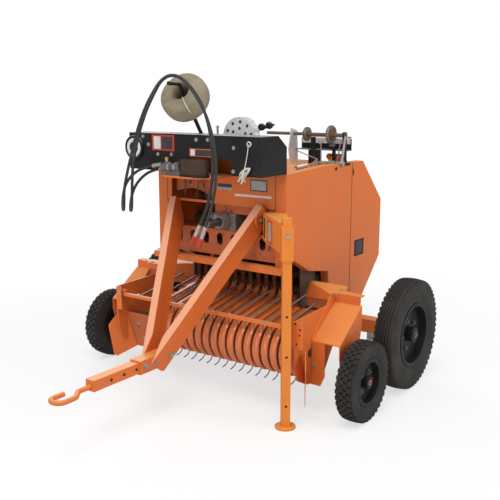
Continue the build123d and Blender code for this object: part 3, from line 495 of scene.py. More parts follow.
# %% Hoses and couplers
coupler_steps = ((0.000, 0.022, 0.0095, 24), (0.022, 0.034, 0.0110, 6), (0.034, 0.062, 0.0100, 24))
coupler_length = 0.062
cap_length = 0.044
cap_collar = cap_length * 0.3
for letter in ("a", "b"):
    points = [at(*p) for p in hose_routes["hose_" + letter]]
    hose = draw_cord("hose_" + letter, points, hose_radius, "hose_rubber")
    way = (points[-1] - points[-2]).normalized()
    end = points[-1]
    bm = bmesh.new()
    for start, stop, radius, sides in coupler_steps:
        add_rod(bm, end + way * start, end + way * stop, radius, sides)
    soften(bm, 0.0008)
    coupler = finish_piece(
        "coupler_" + letter + "_dressed", bm, "plated_steel", ["coupler_" + letter]
    )
    bm = bmesh.new()
    cap_start = end + way * coupler_length
    add_rod(bm, cap_start, cap_start + way * cap_collar, 0.0128)
    add_rod(bm, cap_start + way * cap_collar, cap_start + way * cap_length, 0.0115, 24, 0.0095)
    soften(bm, 0.0015)
    cap = finish_piece("dust_cap_" + letter, bm, "red_cap", ["dust_caps"])

# %% [markdown]
# The trip cord hangs from an eyelet in the box and ends in a small hank: a flat coil of the same
# cord, tied by one knot, with a few loose ends beside it. Each turn is a wavy oval with a lean
# of its own, so that the turns cross one another as laid cord does.

# %% Trip cord and hank
cord_radius = 0.002
cord_points = [
    at(0.336, -0.7582, 1.268),
    at(0.335, -0.762, 1.233),
    at(0.330, -0.765, 1.198),
    at(0.322, -0.766, 1.163),
]
trip_cord = draw_cord("trip_cord", cord_points, cord_radius, "rope")
coil_middle = at(0.324, -0.766, 1.143)
# Each turn's half width, half height, lean in degrees and depth
coil_turns = [
    (0.031, 0.011, 40, 0.004),
    (0.029, 0.013, 30, -0.004),
    (0.027, 0.009, 48, 0.007),
    (0.030, 0.008, 36, -0.007),
    (0.024, 0.012, 55, 0.000),
]
coil_steps = 24
coil_wave = 0.003
hank_bm = bmesh.new()
for wide, tall, lean, depth in coil_turns:
    tilt = Matrix.Rotation(math.radians(-lean), 4, "Y")
    spots = []
    for step in range(coil_steps):
        angle = math.tau * step / coil_steps
        out = depth + coil_wave * math.sin(2 * angle)
        spots.append(coil_middle + tilt @ Vector((wide * math.cos(angle), out, tall * math.sin(angle))))
    add_wire(hank_bm, spots + spots[:1], cord_radius, 8, 0.12)
tails = [
    (0.288, 1.115, 0.006), (0.292, 1.101, -0.005), (0.301, 1.096, 0.002),
    (0.310, 1.092, -0.008), (0.319, 1.098, 0.007), (0.296, 1.104, -0.001),
]
tail_steps = 8
tail_sway = 0.005
knot = at(0.317, -0.766, 1.141)
for x, z, depth in tails:
    end = at(x, -0.766 + depth, z)
    spots = [knot]
    for step in range(1, tail_steps + 1):
        share = step / tail_steps
        sway = tail_sway * math.sin(share * 5 + x * 300)
        spots.append(knot.lerp(end, share) + left * sway + rear * depth * (1 - share))
    add_wire(hank_bm, spots, cord_radius * 1.25, 8, 0.1)
add_rod(hank_bm, cord_points[-1] + up * 0.002, knot, 0.0028, 10)
add_rod(hank_bm, knot + left * 0.004 + up * 0.007, knot - left * 0.005 - up * 0.008, 0.0075, 12, 0.006)
hank = finish_piece("rope_hank_dressed", hank_bm, "rope", ["rope_hank"])

# %% [markdown]
# A tyre is round, so its cross-section is drawn once, with its grooves, and turned about the
# axle. Turning can't cut across the tread, so the rubber blocks are rows of small solids laid on
# it: short ones at the shoulders of the road tyres, and slanting ones over the gauge tyres.


# %% Tyres
# Shares of the width, and of the height from rim to tread
sidewall = ((0.465, 0.20), (0.492, 0.36), (0.500, 0.50), (0.496, 0.62), (0.480, 0.78), (0.450, 0.90))


def build_tyre(node, groove_places, groove_depth, crown_share, rows, block_count, rim_radius):
    low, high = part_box(node)
    centre = (low + high) / 2
    width = high.x - low.x
    radius = (high.z - low.z) / 2
    half = width * 0.40
    groove = width * 0.022
    bead = rim_radius + 0.0003
    crown = [(-half, radius * crown_share * 0.985)]
    for share in groove_places:
        a = share * half
        top = radius * crown_share * (1 - 0.015 * share**2)
        crown += [
            (a - groove, top),
            (a - groove * 0.6, top - groove_depth),
            (a + groove * 0.6, top - groove_depth),
            (a + groove, top),
        ]
    crown.append((half, radius * crown_share * 0.985))
    bead_half = width * 0.405
    side = [(bead_half, bead), (bead_half, bead + 0.012)]
    side += [(width * a, rim_radius + (radius - rim_radius) * r) for a, r in sidewall]
    outline = [(-a, r) for a, r in side] + crown + side[::-1]
    bm = bmesh.new()
    add_turned(bm, outline, centre, left, 96)
    pitch = math.tau / block_count
    for place, half_wide, half_long, low, high, lean, shift in rows:
        for number in range(block_count):
            verts = add_block(
                bm,
                (place * half - half_wide, -half_long, radius * low),
                (place * half + half_wide, half_long, radius * high),
            )
            slant = Matrix.Rotation(math.radians(lean), 4, "Z")
            spin = Matrix.Rotation(pitch * (number + shift), 4, "X")
            offset = Matrix.Translation((place * half, 0, 0))
            move = Matrix.Translation(centre) @ spin @ offset @ slant @ offset.inverted()
            bmesh.ops.transform(bm, matrix=move, verts=verts)
    body = node.replace("tyre", "wheel")
    finish_piece(node + "_dressed", bm, "tyre_rubber", [node], 30, body)


# Each row's place across, half width, half length, low and high share of the radius, lean and shift
main_rows = [
    (-0.90, 0.010, 0.0085, 0.93, 0.984, 0, 0.0),
    (0.90, 0.010, 0.0085, 0.93, 0.984, 0, 0.5),
    (-1.06, 0.005, 0.0070, 0.90, 0.965, 0, 0.0),
    (1.06, 0.005, 0.0070, 0.90, 0.965, 0, 0.5),
]
gauge_rows = [
    (-0.76, 0.0095, 0.0100, 0.930, 0.988, -16, 0.0),
    (-0.25, 0.0085, 0.0105, 0.930, 0.9975, 14, 0.5),
    (0.25, 0.0085, 0.0105, 0.930, 0.9975, -14, 0.0),
    (0.76, 0.0095, 0.0100, 0.930, 0.988, 16, 0.5),
    (-1.06, 0.0050, 0.0080, 0.880, 0.965, 0, 0.0),
    (1.06, 0.0050, 0.0080, 0.880, 0.965, 0, 0.5),
]
main_rim_radius = 0.152
gauge_rim_radius = 0.101
main_grooves = (-0.66, -0.33, 0.0, 0.33, 0.66)
gauge_grooves = (-0.5, 0.5)
for side_name in ("left", "right"):
    build_tyre("main_tyre_" + side_name, main_grooves, 0.007, 1.0, main_rows, 56, main_rim_radius)
    build_tyre("gauge_tyre_" + side_name, gauge_grooves, 0.002, 0.960, gauge_rows, 36, gauge_rim_radius)

# %% [markdown]
# Each disc wheel has a ring of studs with nuts, and a hub with a cap. The disc itself comes from
# the CAD. The studs of a wheel are one mesh, because they turn together and look alike.


# %% Hubs and studs
def dress_hub(node, side, stud_ring, stud_count, hub_radius, hub_reach):
    low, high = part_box(node)
    centre = (low + high) / 2
    way = left * side
    face = centre + way * 0.008
    bm = bmesh.new()
    for number in range(stud_count):
        angle = math.tau * (number + 0.5) / stud_count
        spot = face + Vector((0, math.cos(angle), math.sin(angle))) * stud_ring
        nut_top = spot + way * 0.006
        add_rod(bm, spot, nut_top, 0.013, 6)
        add_rod(bm, nut_top, spot + way * 0.014, 0.006, 12)
    tip = centre + way * hub_reach
    pin_top = tip + way * 0.006
    add_rod(bm, tip - way * 0.004, pin_top, hub_radius * 0.42)
    add_rod(bm, pin_top, tip + way * 0.013, hub_radius * 0.20, 6)
    body = node.replace("rim", "wheel")
    finish_piece(node + "_studs", bm, "stud_steel", body=body)
    bm = bmesh.new()
    add_rod(bm, tip - way * 0.030, tip - way * 0.003, hub_radius * 0.95, 32, hub_radius * 0.80)
    soften(bm, 0.003)
    finish_piece(node + "_cap", bm, "rim_black", body=body)


for side, side_name in both_sides:
    dress_hub("main_rim_" + side_name, side, 0.075, 5, 0.040, 0.048)
    dress_hub("gauge_rim_" + side_name, side, 0.052, 4, 0.030, 0.030)

# %% [markdown]
# The tines are spring wire. Each starts on its bar, goes out between two bands and bends near
# its tip. The reel, its bars and all the tines turn together, so they are one piece. The tines
# could be curves, but short rods from bend to bend look the same at this size.

# %% Tine reel
reel_low, reel_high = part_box("tine_reel")
reel_y = -0.605
reel_z = 0.307
bar_ring = 0.078
tip_ring = 0.165
band_pitch = 0.050
first_gap = 0.525
tine_count = 18
shaft_radius = 0.020
reel_bm = bmesh.new()
add_rod(reel_bm, at(reel_low.x, reel_y, reel_z), at(reel_high.x, reel_y, reel_z), shaft_radius)
reel_left = 0.566
reel_right = -0.333
disc_wide = 0.008
disc_radius = 0.092
for disc_x in (reel_right, (reel_left + reel_right) / 2 - disc_wide / 2, reel_left - disc_wide):
    add_rod(reel_bm, at(disc_x, reel_y, reel_z), at(disc_x + disc_wide, reel_y, reel_z), disc_radius, 32)


def reel_place(x, ring, angle):
    return at(x, reel_y + ring * math.cos(math.radians(angle)), reel_z + ring * math.sin(math.radians(angle)))


tine_route = [(bar_ring, 0), (0.120, 0), (0.138, -3), (0.151, -8), (tip_ring - 0.002, -14)]
for angle in (-105, 15, 135):
    bar_ends = [reel_place(x, bar_ring, angle) for x in (reel_right, reel_left)]
    add_rod(reel_bm, *bar_ends, 0.008, 16)
    for number in range(tine_count):
        x = first_gap - number * band_pitch
        spots = [reel_place(x, ring, angle + bend) for ring, bend in tine_route]
        add_wire(reel_bm, spots, 0.0025, 10)
finish_piece("tine_reel_dressed", reel_bm, "worn_steel", ["tine_reel"], body="reel")

# %% [markdown]
# The ball of twine sits on the rod with its hole a little open. Its outline is turned about its
# own axis, and its finish's coarse bump stands for the wound strands, which would be too fine to
# model one by one. One loose strand hangs down over its front.

# %% Ball of twine
ball_axis = Vector((0.12, -0.81, 0.57)).normalized()
rod_foot = at(-0.042, -0.624, 1.301)
rod_knee = rod_foot + Vector((-0.012, -0.142, 0.232))
ball_centre = rod_foot + (rod_knee - rod_foot).normalized() * 0.198
ball_radius = 0.117
ball_half = 0.060
ball_end = ball_half * 0.985
ball_bore = 0.0405
ball_bm = bmesh.new()
ball_outline = []
ball_steps = 24
for step in range(ball_steps + 1):
    angle = math.radians(-90 + 180 * step / ball_steps)
    squared = math.copysign(abs(math.sin(angle)) ** 0.85, angle)
    along = ball_end * squared
    ring = ball_radius * 0.66 + ball_radius * 0.325 * abs(math.cos(angle)) ** 0.75
    ball_outline.append((along, ring))
mouth = [(ball_end, ball_bore + 0.012), (ball_half * 0.80, ball_bore)]
ball_outline = [(-along, ring) for along, ring in mouth[::-1]] + ball_outline + mouth
add_turned(ball_bm, ball_outline, ball_centre, ball_axis, 72)
finish_piece("twine_ball_dressed", ball_bm, "twine", ["twine_ball"], smooth=60)
low_way = Vector((0.42, 0.25, -0.87))
low_way = (low_way - ball_axis * low_way.dot(ball_axis)).normalized()
strand_bm = bmesh.new()
strand = [(0.046, 0.057), (0.070, 0.062), (0.092, 0.058), (0.110, 0.042), (0.119, 0.020)]
spots = [ball_centre + low_way * low + ball_axis * out for low, out in strand]
add_wire(strand_bm, spots, 0.0022, 10)
finish_piece("loose_strand", strand_bm, "rope")

# %% [markdown]
# The bands of the pickup are rolled from strip, so they are curved across as well as round.
# Each outline is drawn from the side and thickened across; lengthwise cuts then let its edges
# be drawn in, which keeps one outline for all. Fingers stand in the inlet behind the bands. The
# bands' inner faces take a dark tone: painted shade, for the shade of the inlet.

# %% Bands of the pickup
band_ring = 0.125
band_depth = 0.010
band_wide = 0.036
band_crown = 0.0055
run_end = (-0.440, 0.4630)


def crown_band(bm, verts, middle):
    """Cuts a band lengthwise and draws its edges in, so that it is curved across."""
    faces = {f for v in verts for f in v.link_faces}
    edges = {e for f in faces for e in f.edges}
    geom = list(verts) + list(edges) + list(faces)
    for offset in (-0.0145, -0.010, 0.0, 0.010, 0.0145):
        cut = bmesh.ops.bisect_plane(bm, geom=geom, plane_co=(middle + offset, 0, 0), plane_no=left)
        geom = cut["geom"]
    hub = at(0, reel_y, reel_z)
    for vert in (g for g in geom if isinstance(g, bmesh.types.BMVert)):
        share = abs(vert.co.x - middle) / (band_wide / 2)
        inward = Vector((0, hub.y - vert.co.y, hub.z - vert.co.z)).normalized()
        vert.co += inward * band_crown * share**2.2


def band_arc(ring):
    turns = [math.radians(a) for a in range(290, 99, -10)]
    return [(reel_y + ring * math.cos(a), reel_z + ring * math.sin(a)) for a in turns]


def add_strip(x, wide, outline):
    """An outline of (y, z) points, thickened across about x."""
    return add_sheet(band_bm, [at(x - wide / 2, y, z) for y, z in outline], left * wide)


band_count = 18
first_band = 0.550
inlet_half = 0.318
run_y, run_z = run_end
rail_front, rail_low, rail_high = -0.511, 0.149, 0.161
band = band_arc(band_ring) + [run_end, (run_y, run_z - band_depth)] + band_arc(band_ring - band_depth)[::-1]
foot = [(reel_y + 0.0428, reel_z - 0.1175), (rail_front, rail_low), (rail_front, rail_high),
        (reel_y + 0.0393, reel_z - 0.1081)]
finger = [(run_y, run_z), (-0.382, run_z + 0.010), (-0.362, run_z + 0.024), (-0.352, run_z + 0.048),
          (-0.340, run_z + 0.048), (-0.342, run_z + 0.022), (-0.374, run_z - 0.002), (run_y, run_z - 0.010)]
band_bm = bmesh.new()
for number in range(band_count):
    x = first_band - number * band_pitch
    crown_band(band_bm, add_strip(x, band_wide, band), x)
    add_strip(x, band_wide, foot)
    if abs(x) < inlet_half:
        add_strip(x, 0.024, finger)
        add_block(band_bm, at(x - 0.0045, -0.356, run_z + 0.030), at(x + 0.0045, -0.332, 0.585))
add_block(band_bm, at(-0.535, rail_front, rail_low), at(0.572, -0.499, rail_high))
bands = finish_piece("pickup_bands_dressed", band_bm, "band_orange", ["pickup_bands"],
                     smooth=40, body="pickup")
# Painted shade: faces that look in toward the reel's axis take the dark tone.
bands.data.materials.append(finishes["dark_inside"])
hub = at(0, reel_y, reel_z)
for face in bands.data.polygons:
    inward = Vector((0, hub.y - face.center.y, hub.z - face.center.z)).normalized()
    if face.normal.dot(inward) > 0.5:
        face.material_index = 1

# %% [markdown]
# Bolts, rings and plates repeat all over the machine, so each gets one small tool. A plate is a
# coloured frame with blank fields in it, because its words and signs don't belong to the part.


# %% Rings, coils and plates
def add_ring(bm, centre, axis, ring, wire, steps=24):
    turns = [math.tau * n / 8 for n in range(8)]
    add_turned(bm, [(wire * math.cos(a), ring + wire * math.sin(a)) for a in turns], centre, axis, steps)


def add_discs(bm, places, way, size, thickness):
    """Thin dark discs, painted shade for holes that are only seen from outside."""
    for place in places:
        add_rod(bm, place, place + way * thickness, size, 20)


def add_coil(bm, start, end, ring, wire, turns):
    """A tight spring, as a ribbed sleeve between two points."""
    start, end = Vector(start), Vector(end)
    length = (end - start).length
    outline = [(0, ring * 0.4)]
    for number in range(turns):
        outline.append((length * (number + 0.25) / turns, ring))
        outline.append((length * (number + 0.75) / turns, ring - wire))
    outline.append((length, ring * 0.4))
    add_turned(bm, outline, start, end - start, 20)


def add_plate(name, corner, across, upward, frame_tone, fields, body="chassis"):
    """A thin frame from a corner, with fields as (start, end, tone) shares of its width."""
    out = across.cross(upward).normalized()
    bm = bmesh.new()
    add_sheet(bm, [corner, corner + across, corner + across + upward, corner + upward], out * 0.0008)
    finish_piece(name, bm, frame_tone, smooth=0, body=body)
    edge = min(across.length, upward.length) * 0.10
    inner = across.length - 2 * edge
    a, u = across.normalized(), upward.normalized()
    for number, (start, end, tone) in enumerate(fields):
        bm = bmesh.new()
        low = corner + a * (edge + inner * start) + u * edge
        wide = a * inner * (end - start)
        tall = u * (upward.length - 2 * edge)
        add_sheet(bm, [low, low + wide, low + wide + tall, low + tall], out * 0.0014)
        finish_piece(name + "_field_" + str(number), bm, tone, smooth=0, body=body)


def bolts(name, rows, size, body="chassis"):
    bm = bmesh.new()
    for place, way in rows:
        add_bolt(bm, place, way, size)
    finish_piece(name, bm, "plated_steel", body=body)


forward = -rear
print("tools ready")

# %% [markdown]
# The front of the twine box carries eight bolts, a round black guide with a pale ring at its
# right end, an eyelet for the trip cord and two plates.

# %% Front of the twine box
box_front = -0.750
box_bolt_places = [
    (-0.306, 1.284), (-0.270, 1.246), (-0.210, 1.201), (-0.123, 1.203),
    (0.031, 1.278), (0.100, 1.280), (0.249, 1.248), (0.246, 1.142),
]
bolts("box_bolts", [(at(x, box_front, z), forward) for x, z in box_bolt_places], 0.008)
disc_place = at(-0.362, box_front, 1.228)
disc_bm = bmesh.new()
disc_outline = [
    (0, 0.008), (0, 0.060), (0.010, 0.060), (0.013, 0.057), (0.013, 0.050), (0.010, 0.046), (0.010, 0.008),
]
add_turned(disc_bm, disc_outline, disc_place, forward, 48)
finish_piece("front_disc", disc_bm, "black_paint")
ring_bm = bmesh.new()
ring_outline = [(0.010, 0.028), (0.010, 0.046), (0.012, 0.045), (0.0135, 0.037), (0.012, 0.029)]
add_turned(ring_bm, ring_outline, disc_place, forward, 48)
finish_piece("front_disc_ring", ring_bm, "silver_paint")
eyelet_bm = bmesh.new()
add_ring(eyelet_bm, at(0.336, -0.7530, 1.268), forward, 0.010, 0.003)
finish_piece("eyelet", eyelet_bm, "rope")
add_plate(
    "red_framed_plate", at(-0.248, box_front, 1.219), left * 0.143, up * 0.075, "red_plate",
    [(0.04, 0.38, "white_plate"), (0.42, 0.98, "label_dark")],
)
add_plate(
    "orange_framed_plate", at(-0.010, box_front, 1.200), left * 0.142, up * 0.036, "orange_paint",
    [(0.02, 0.20, "white_plate"), (0.24, 0.98, "label_dark")],
)

# %% [markdown]
# The valve is a brown casting with a rounded front, so its plan is drawn, thickened upward and
# softened. A thin black base stands out round its foot.

# %% Hydraulic valve
valve_low = 1.106
valve_plan = [(-0.042, -0.7502), (-0.042, -0.785), (-0.022, -0.797), (0.076, -0.798), (0.106, -0.779),
              (0.106, -0.7502)]
valve_bm = bmesh.new()
verts = add_sheet(valve_bm, [at(x, y, valve_low) for x, y in valve_plan], up * 0.082)
soften(valve_bm, 0.006, verts, segments=3)
add_rod(valve_bm, at(0.030, -0.774, 1.186), at(0.030, -0.774, 1.191), 0.014, 6)
base_bm = bmesh.new()
base_plan = [(x - 0.003 if x < 0 else x + 0.002, y - (0.002 if y < -0.76 else 0)) for x, y in valve_plan]
add_sheet(base_bm, [at(x, y, valve_low) for x, y in base_plan], up * 0.014)
finish_piece("valve_base", base_bm, "black_paint")
finish_piece("valve_casting", valve_bm, "valve_steel", ["hydraulic_valve"])

# %% [markdown]
# A round body, plated nuts and a brass knob are screwed in at the valve's side. Each hose starts
# at a nut of its own that follows the hose's first direction. All but the foot of the body are
# round or six-sided, so rods make them.

# %% Fittings of the valve
body_y = -0.775
body_z = 1.146
knob_x = -0.131
body_bm = bmesh.new()
add_rods(body_bm, [
    ((-0.150, body_y, body_z), (-0.042, body_y, body_z), 0.0195, 24),
    ((-0.060, body_y, 1.150), (-0.044, body_y, 1.150), 0.025, 24),
    ((knob_x, body_y, 1.150), (knob_x, body_y, 1.172), 0.013, 6),
])
add_block(body_bm, at(-0.158, -0.787, valve_low), at(-0.042, -0.763, 1.128))
finish_piece("valve_side_body", body_bm, "stud_steel")
nut_bm = bmesh.new()
add_rods(nut_bm, [
    ((-0.118, body_y, body_z), (-0.105, body_y, body_z), 0.025, 6),
    ((-0.082, body_y, body_z), (-0.069, body_y, body_z), 0.023, 6),
    ((knob_x, body_y, 1.170), (knob_x, body_y, 1.180), 0.009, 6),
])
for letter in ("a", "b"):
    start = at(*hose_routes["hose_" + letter][0])
    way = (start - at(*hose_routes["hose_" + letter][1])).normalized()
    reach = (-0.152 - start.x) / way.x
    add_rod(nut_bm, start, start + way * reach, 0.0085, 20)
    add_rod(nut_bm, start + way * 0.002, start + way * 0.016, 0.011, 6)
    add_rod(nut_bm, start + way * 0.020, start + way * 0.028, 0.0105, 6)
finish_piece("valve_fittings", nut_bm, "plated_steel")
knob_bm = bmesh.new()
add_rod(knob_bm, at(knob_x, body_y, 1.180), at(knob_x, body_y, 1.192), 0.011, 12)
finish_piece("valve_knob", knob_bm, "brass")

# %% [markdown]
# Plates on the panel below the box: a grey one, a small two-toned one and a pale strip. Narrow
# dark joints part the panel from its posts.

# %% Upper front panel
panel_face = -0.543
panel_half = 0.3395
for name, x, z, wide, tall, tone, fields in (
    ("grey_panel_plate", 0.193, 1.030, 0.098, 0.056, "label_dark", [(0.0, 1.0, "grey_plate")]),
    ("pale_panel_plate", -0.006, 1.022, 0.086, 0.015, "grey_plate", []),
    ("dark_panel_plate", -0.006, 1.038, 0.086, 0.016, "label_dark", []),
):
    add_plate(name, at(x, panel_face, z), left * wide, up * tall, tone, fields)
strip_way = left * 0.216 + up * 0.002
add_plate("pale_strip", at(0.100, panel_face, 0.999), strip_way, up * 0.010, "white_plate", [])
joint_bm = bmesh.new()
for x in (-panel_half, panel_half):
    add_block(joint_bm, at(x - 0.0012, panel_face - 0.0006, 0.950), at(x + 0.0012, panel_face, 1.120))
finish_piece("panel_joints", joint_bm, "dark_inside", smooth=0)

# %% [markdown]
# The upper panel has a wide recess on its right, through which the trip links show. The panel
# in the CAD has a narrower one, so the sheet is laid out again here as four fields round the
# opening, with the shelf of the valve on it. A sheet with a curved edge stands behind the
# opening, and a strip is set back below the panel's lower edge.

# %% Upper panel with its recess
panel_bm = bmesh.new()
sheet = 0.004
panel_low, panel_high = 0.950, 1.180
recess_right, recess_left = -0.3095, -0.042
recess_low, recess_high = 0.962, 1.085
for x0, x1, z0, z1 in (
    (-panel_half, recess_right, panel_low, panel_high),
    (recess_right, recess_left, recess_high, panel_high),
    (recess_right, recess_left, panel_low, recess_low),
    (recess_left, panel_half, panel_low, panel_high),
):
    add_block(panel_bm, at(x0, panel_face, z0), at(x1, panel_face + sheet, z1))
shelf = [(0.115, -0.542), (0.115, -0.755), (0.085, -0.788), (0.030, -0.800),
         (-0.125, -0.800), (-0.165, -0.782), (-0.185, -0.745), (-0.185, -0.542)]
add_sheet(panel_bm, [at(x, y, 1.098) for x, y in shelf], up * 0.008)
finish_piece("upper_front_panel_dressed", panel_bm, "orange_paint", ["upper_front_panel"], 0)
back_bm = bmesh.new()
curve = [(-0.263, 1.004), (-0.194, 1.014), (-0.140, 1.004), (-0.100, 0.988)]
back = [(recess_right, 1.100), (recess_right, 0.990), *curve, (recess_left, 0.970), (recess_left, 1.100)]
add_sheet(back_bm, [at(x, -0.505, z) for x, z in back], rear * 0.003)
add_blocks(back_bm, [
    ((recess_left, -0.519, 0.905), (panel_half, -0.515, 0.953)),
    ((recess_left, panel_face + sheet, panel_low), (panel_half, -0.515, panel_low + 0.003)),
])
finish_piece("recess_back", back_bm, "dusty_orange", smooth=0)

# %% [markdown]
# In the recess of the panel hang the rods that trip the twine: two stops under the shelf and
# three thin links that go down behind the guard.

# %% Links in the recess
link_bm = bmesh.new()
link_y = -0.526
for x in (-0.234, -0.200):
    add_rod(link_bm, at(x, link_y, 1.038), at(x, link_y, 1.076), 0.006, 16)
for top_x, top_z, low_x in ((-0.231, 1.051, -0.233), (-0.142, 1.080, -0.160), (-0.128, 1.080, -0.080)):
    add_rod(link_bm, at(top_x, link_y, top_z), at(low_x, link_y, panel_low), 0.003, 10)
finish_piece("trip_links", link_bm, "worn_steel")

# %% [markdown]
# The gearbox shows in the window as a grey casting: a bell round the input shaft, a lug with a
# ring at its side, and a ribbed body behind. The bell is round, so it is turned, and the body is
# a block with ribs. The shaft has six splines, laid round a plain rod.

# %% Gearbox and input shaft
gear_x = 0.025
gear_z = 0.866
lug_x = gear_x - 0.072
lug_z = gear_z + 0.024
gear_bm = bmesh.new()
add_block(gear_bm, at(gear_x - 0.066, -0.529, 0.821), at(gear_x + 0.070, -0.389, 0.903))
for number in range(5):
    x = gear_x + 0.028 + number * 0.009
    add_block(gear_bm, at(x, -0.534, 0.826), at(x + 0.004, -0.529, 0.898))
bell = [(0, 0.018), (0.038, 0.022), (0.042, 0.034), (0.030, 0.036), (0.006, 0.044), (-0.010, 0.044),
        (-0.012, 0.018)]
add_turned(gear_bm, bell, at(gear_x, -0.540, gear_z), forward, 40)
add_ring(gear_bm, at(lug_x, -0.556, lug_z), forward, 0.0095, 0.0045)
add_rod(gear_bm, at(lug_x, -0.540, lug_z), at(lug_x, -0.510, lug_z), 0.0135)
add_block(gear_bm, at(gear_x - 0.068, -0.546, gear_z + 0.006), at(gear_x - 0.022, -0.514, gear_z + 0.030))
bell_ring = 0.036
for number in range(6):
    angle = math.tau * (number + 0.5) / 6
    spot = at(gear_x + bell_ring * math.cos(angle), -0.546, gear_z + bell_ring * math.sin(angle))
    add_bolt(gear_bm, spot, forward, 0.006)
finish_piece("gearbox_dressed", gear_bm, "grey_casting", ["gearbox"])
spline_bm = bmesh.new()
add_rod(spline_bm, at(gear_x, -0.669, gear_z), at(gear_x, -0.579, gear_z), 0.0150, 32)
for number in range(6):
    verts = add_block(spline_bm, (-0.0042, -0.045, 0.013), (0.0042, 0.038, 0.0174))
    spin = Matrix.Rotation(math.tau * number / 6, 4, "Y")
    bmesh.ops.transform(spline_bm, matrix=Matrix.Translation(at(gear_x, -0.624, gear_z)) @ spin, verts=verts)
finish_piece("pto_shaft_dressed", spline_bm, "stud_steel", ["pto_shaft"])

# %% [markdown]
# Behind the box stand the drum with its bead and two black knobs on pins, and at its left a
# sprung bolt. The holes round the drum are cut in the CAD solid. Those in its front are only
# seen from outside, so thin dark discs of painted shade lie there instead.

# %% Drum fittings
drum_low, drum_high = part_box("perforated_drum")
print("drum", [round(v, 4) for v in (*drum_low, *drum_high)])
drum_x = 0.125
drum_z = 1.284
drum_bm = bmesh.new()
add_ring(drum_bm, Vector((drum_x, drum_low.y + 0.001, drum_z)), forward, 0.0935, 0.0022, 48)
finish_piece("drum_bead", drum_bm, "silver_paint")
knob_outline = [(0, 0.004), (0, 0.012), (0.003, 0.016), (0.012, 0.018), (0.020, 0.016), (0.024, 0.010),
                (0.024, 0.004)]
knob_bm = bmesh.new()
pin_bm = bmesh.new()
pin_back = -0.494
for x, z in ((0.250, 1.335), (0.293, 1.343)):
    add_turned(knob_bm, knob_outline, at(x, -0.520, z), forward, 28)
    add_rod(pin_bm, at(x, pin_back, z), at(x, -0.525, z), 0.004, 12)
add_rod(pin_bm, at(0.150, pin_back, 1.300), at(0.296, pin_back, 1.345), 0.005, 12)
finish_piece("drum_knobs", knob_bm, "black_paint")
finish_piece("drum_pins", pin_bm, "worn_steel")
hole_bm = bmesh.new()
tray_top = 1.26
for ring, count, size, start in ((0.042, 6, 0.0075, 25), (0.073, 10, 0.0080, 12)):
    angles = [math.radians(start + 360 * number / count) for number in range(count)]
    spots = [Vector((drum_x + ring * math.cos(a), drum_low.y, drum_z + ring * math.sin(a))) for a in angles]
    add_discs(hole_bm, [spot for spot in spots if spot.z > tray_top], forward, size, 0.0008)
finish_piece("drum_holes", hole_bm, "label_dark", smooth=0)
bolt_x, bolt_y = 0.040, -0.600
spring_bm = bmesh.new()
add_rod(spring_bm, at(bolt_x, bolt_y, 1.284), at(bolt_x, bolt_y, 1.342), 0.003, 12)
add_coil(spring_bm, at(bolt_x, bolt_y, 1.292), at(bolt_x, bolt_y, 1.330), 0.007, 0.0025, 8)
add_rod(spring_bm, at(bolt_x, bolt_y, 1.330), at(bolt_x, bolt_y, 1.336), 0.009, 6)
finish_piece("sprung_bolt", spring_bm, "plated_steel")

# %% [markdown]
# Over the hood runs the cross shaft with its collars and two pulleys. Both pulleys are round, so
# each outline is turned about the shaft; the small one has a groove, the large one a flat rim.
# The tray has a pale lining.

# %% Cross shaft and pulleys
shaft_y = 0.028
shaft_z = 1.277
bar_bm = bmesh.new()
add_rods(bar_bm, [
    ((-0.100, shaft_y, shaft_z), (0.398, shaft_y, shaft_z), 0.0088, 20),
    ((0.066, shaft_y, shaft_z), (0.074, shaft_y, shaft_z), 0.015, 6),
    ((0.374, shaft_y, shaft_z), (0.382, shaft_y, shaft_z), 0.015, 6),
    ((0.388, shaft_y, shaft_z), (0.396, shaft_y, shaft_z), 0.015, 6),
])
finish_piece("cross_shaft_bar", bar_bm, "stud_steel")
small = [(-0.008, 0.010), (-0.008, 0.036), (-0.003, 0.038), (0.000, 0.032), (0.003, 0.038), (0.008, 0.036),
         (0.008, 0.010)]
large = [(-0.008, 0.010), (-0.008, 0.048), (-0.003, 0.050), (0.003, 0.050), (0.008, 0.047), (0.008, 0.038),
         (0.004, 0.036), (0.004, 0.010)]
shaft_bm = bmesh.new()
add_turned(shaft_bm, small, at(0.158, shaft_y, shaft_z), left, 40)
add_turned(shaft_bm, large, at(0.306, shaft_y, shaft_z), left, 48)
finish_piece("cross_shaft_dressed", shaft_bm, "pulley_grey", ["cross_shaft"])
hub_bm = bmesh.new()
add_rods(hub_bm, [
    ((0.310, shaft_y, shaft_z), (0.317, shaft_y, shaft_z), 0.026, 28),
    ((0.166, shaft_y, shaft_z), (0.172, shaft_y, shaft_z), 0.016, 24),
])
finish_piece("pulley_hubs", hub_bm, "rust_brown")
lining_bm = bmesh.new()
add_block(lining_bm, at(0.082, 0.1045, 1.226), at(0.380, 0.1060, 1.2545))
finish_piece("tray_lining", lining_bm, "silver_paint", smooth=0)

# %% [markdown]
# Round the shaft are a thin rod over the tray, a low rod with collars, a hand lever at the left,
# a long spring and the links that run over the hood, with small posts between them. They are
# plain bars, so rows of rods and blocks make them.

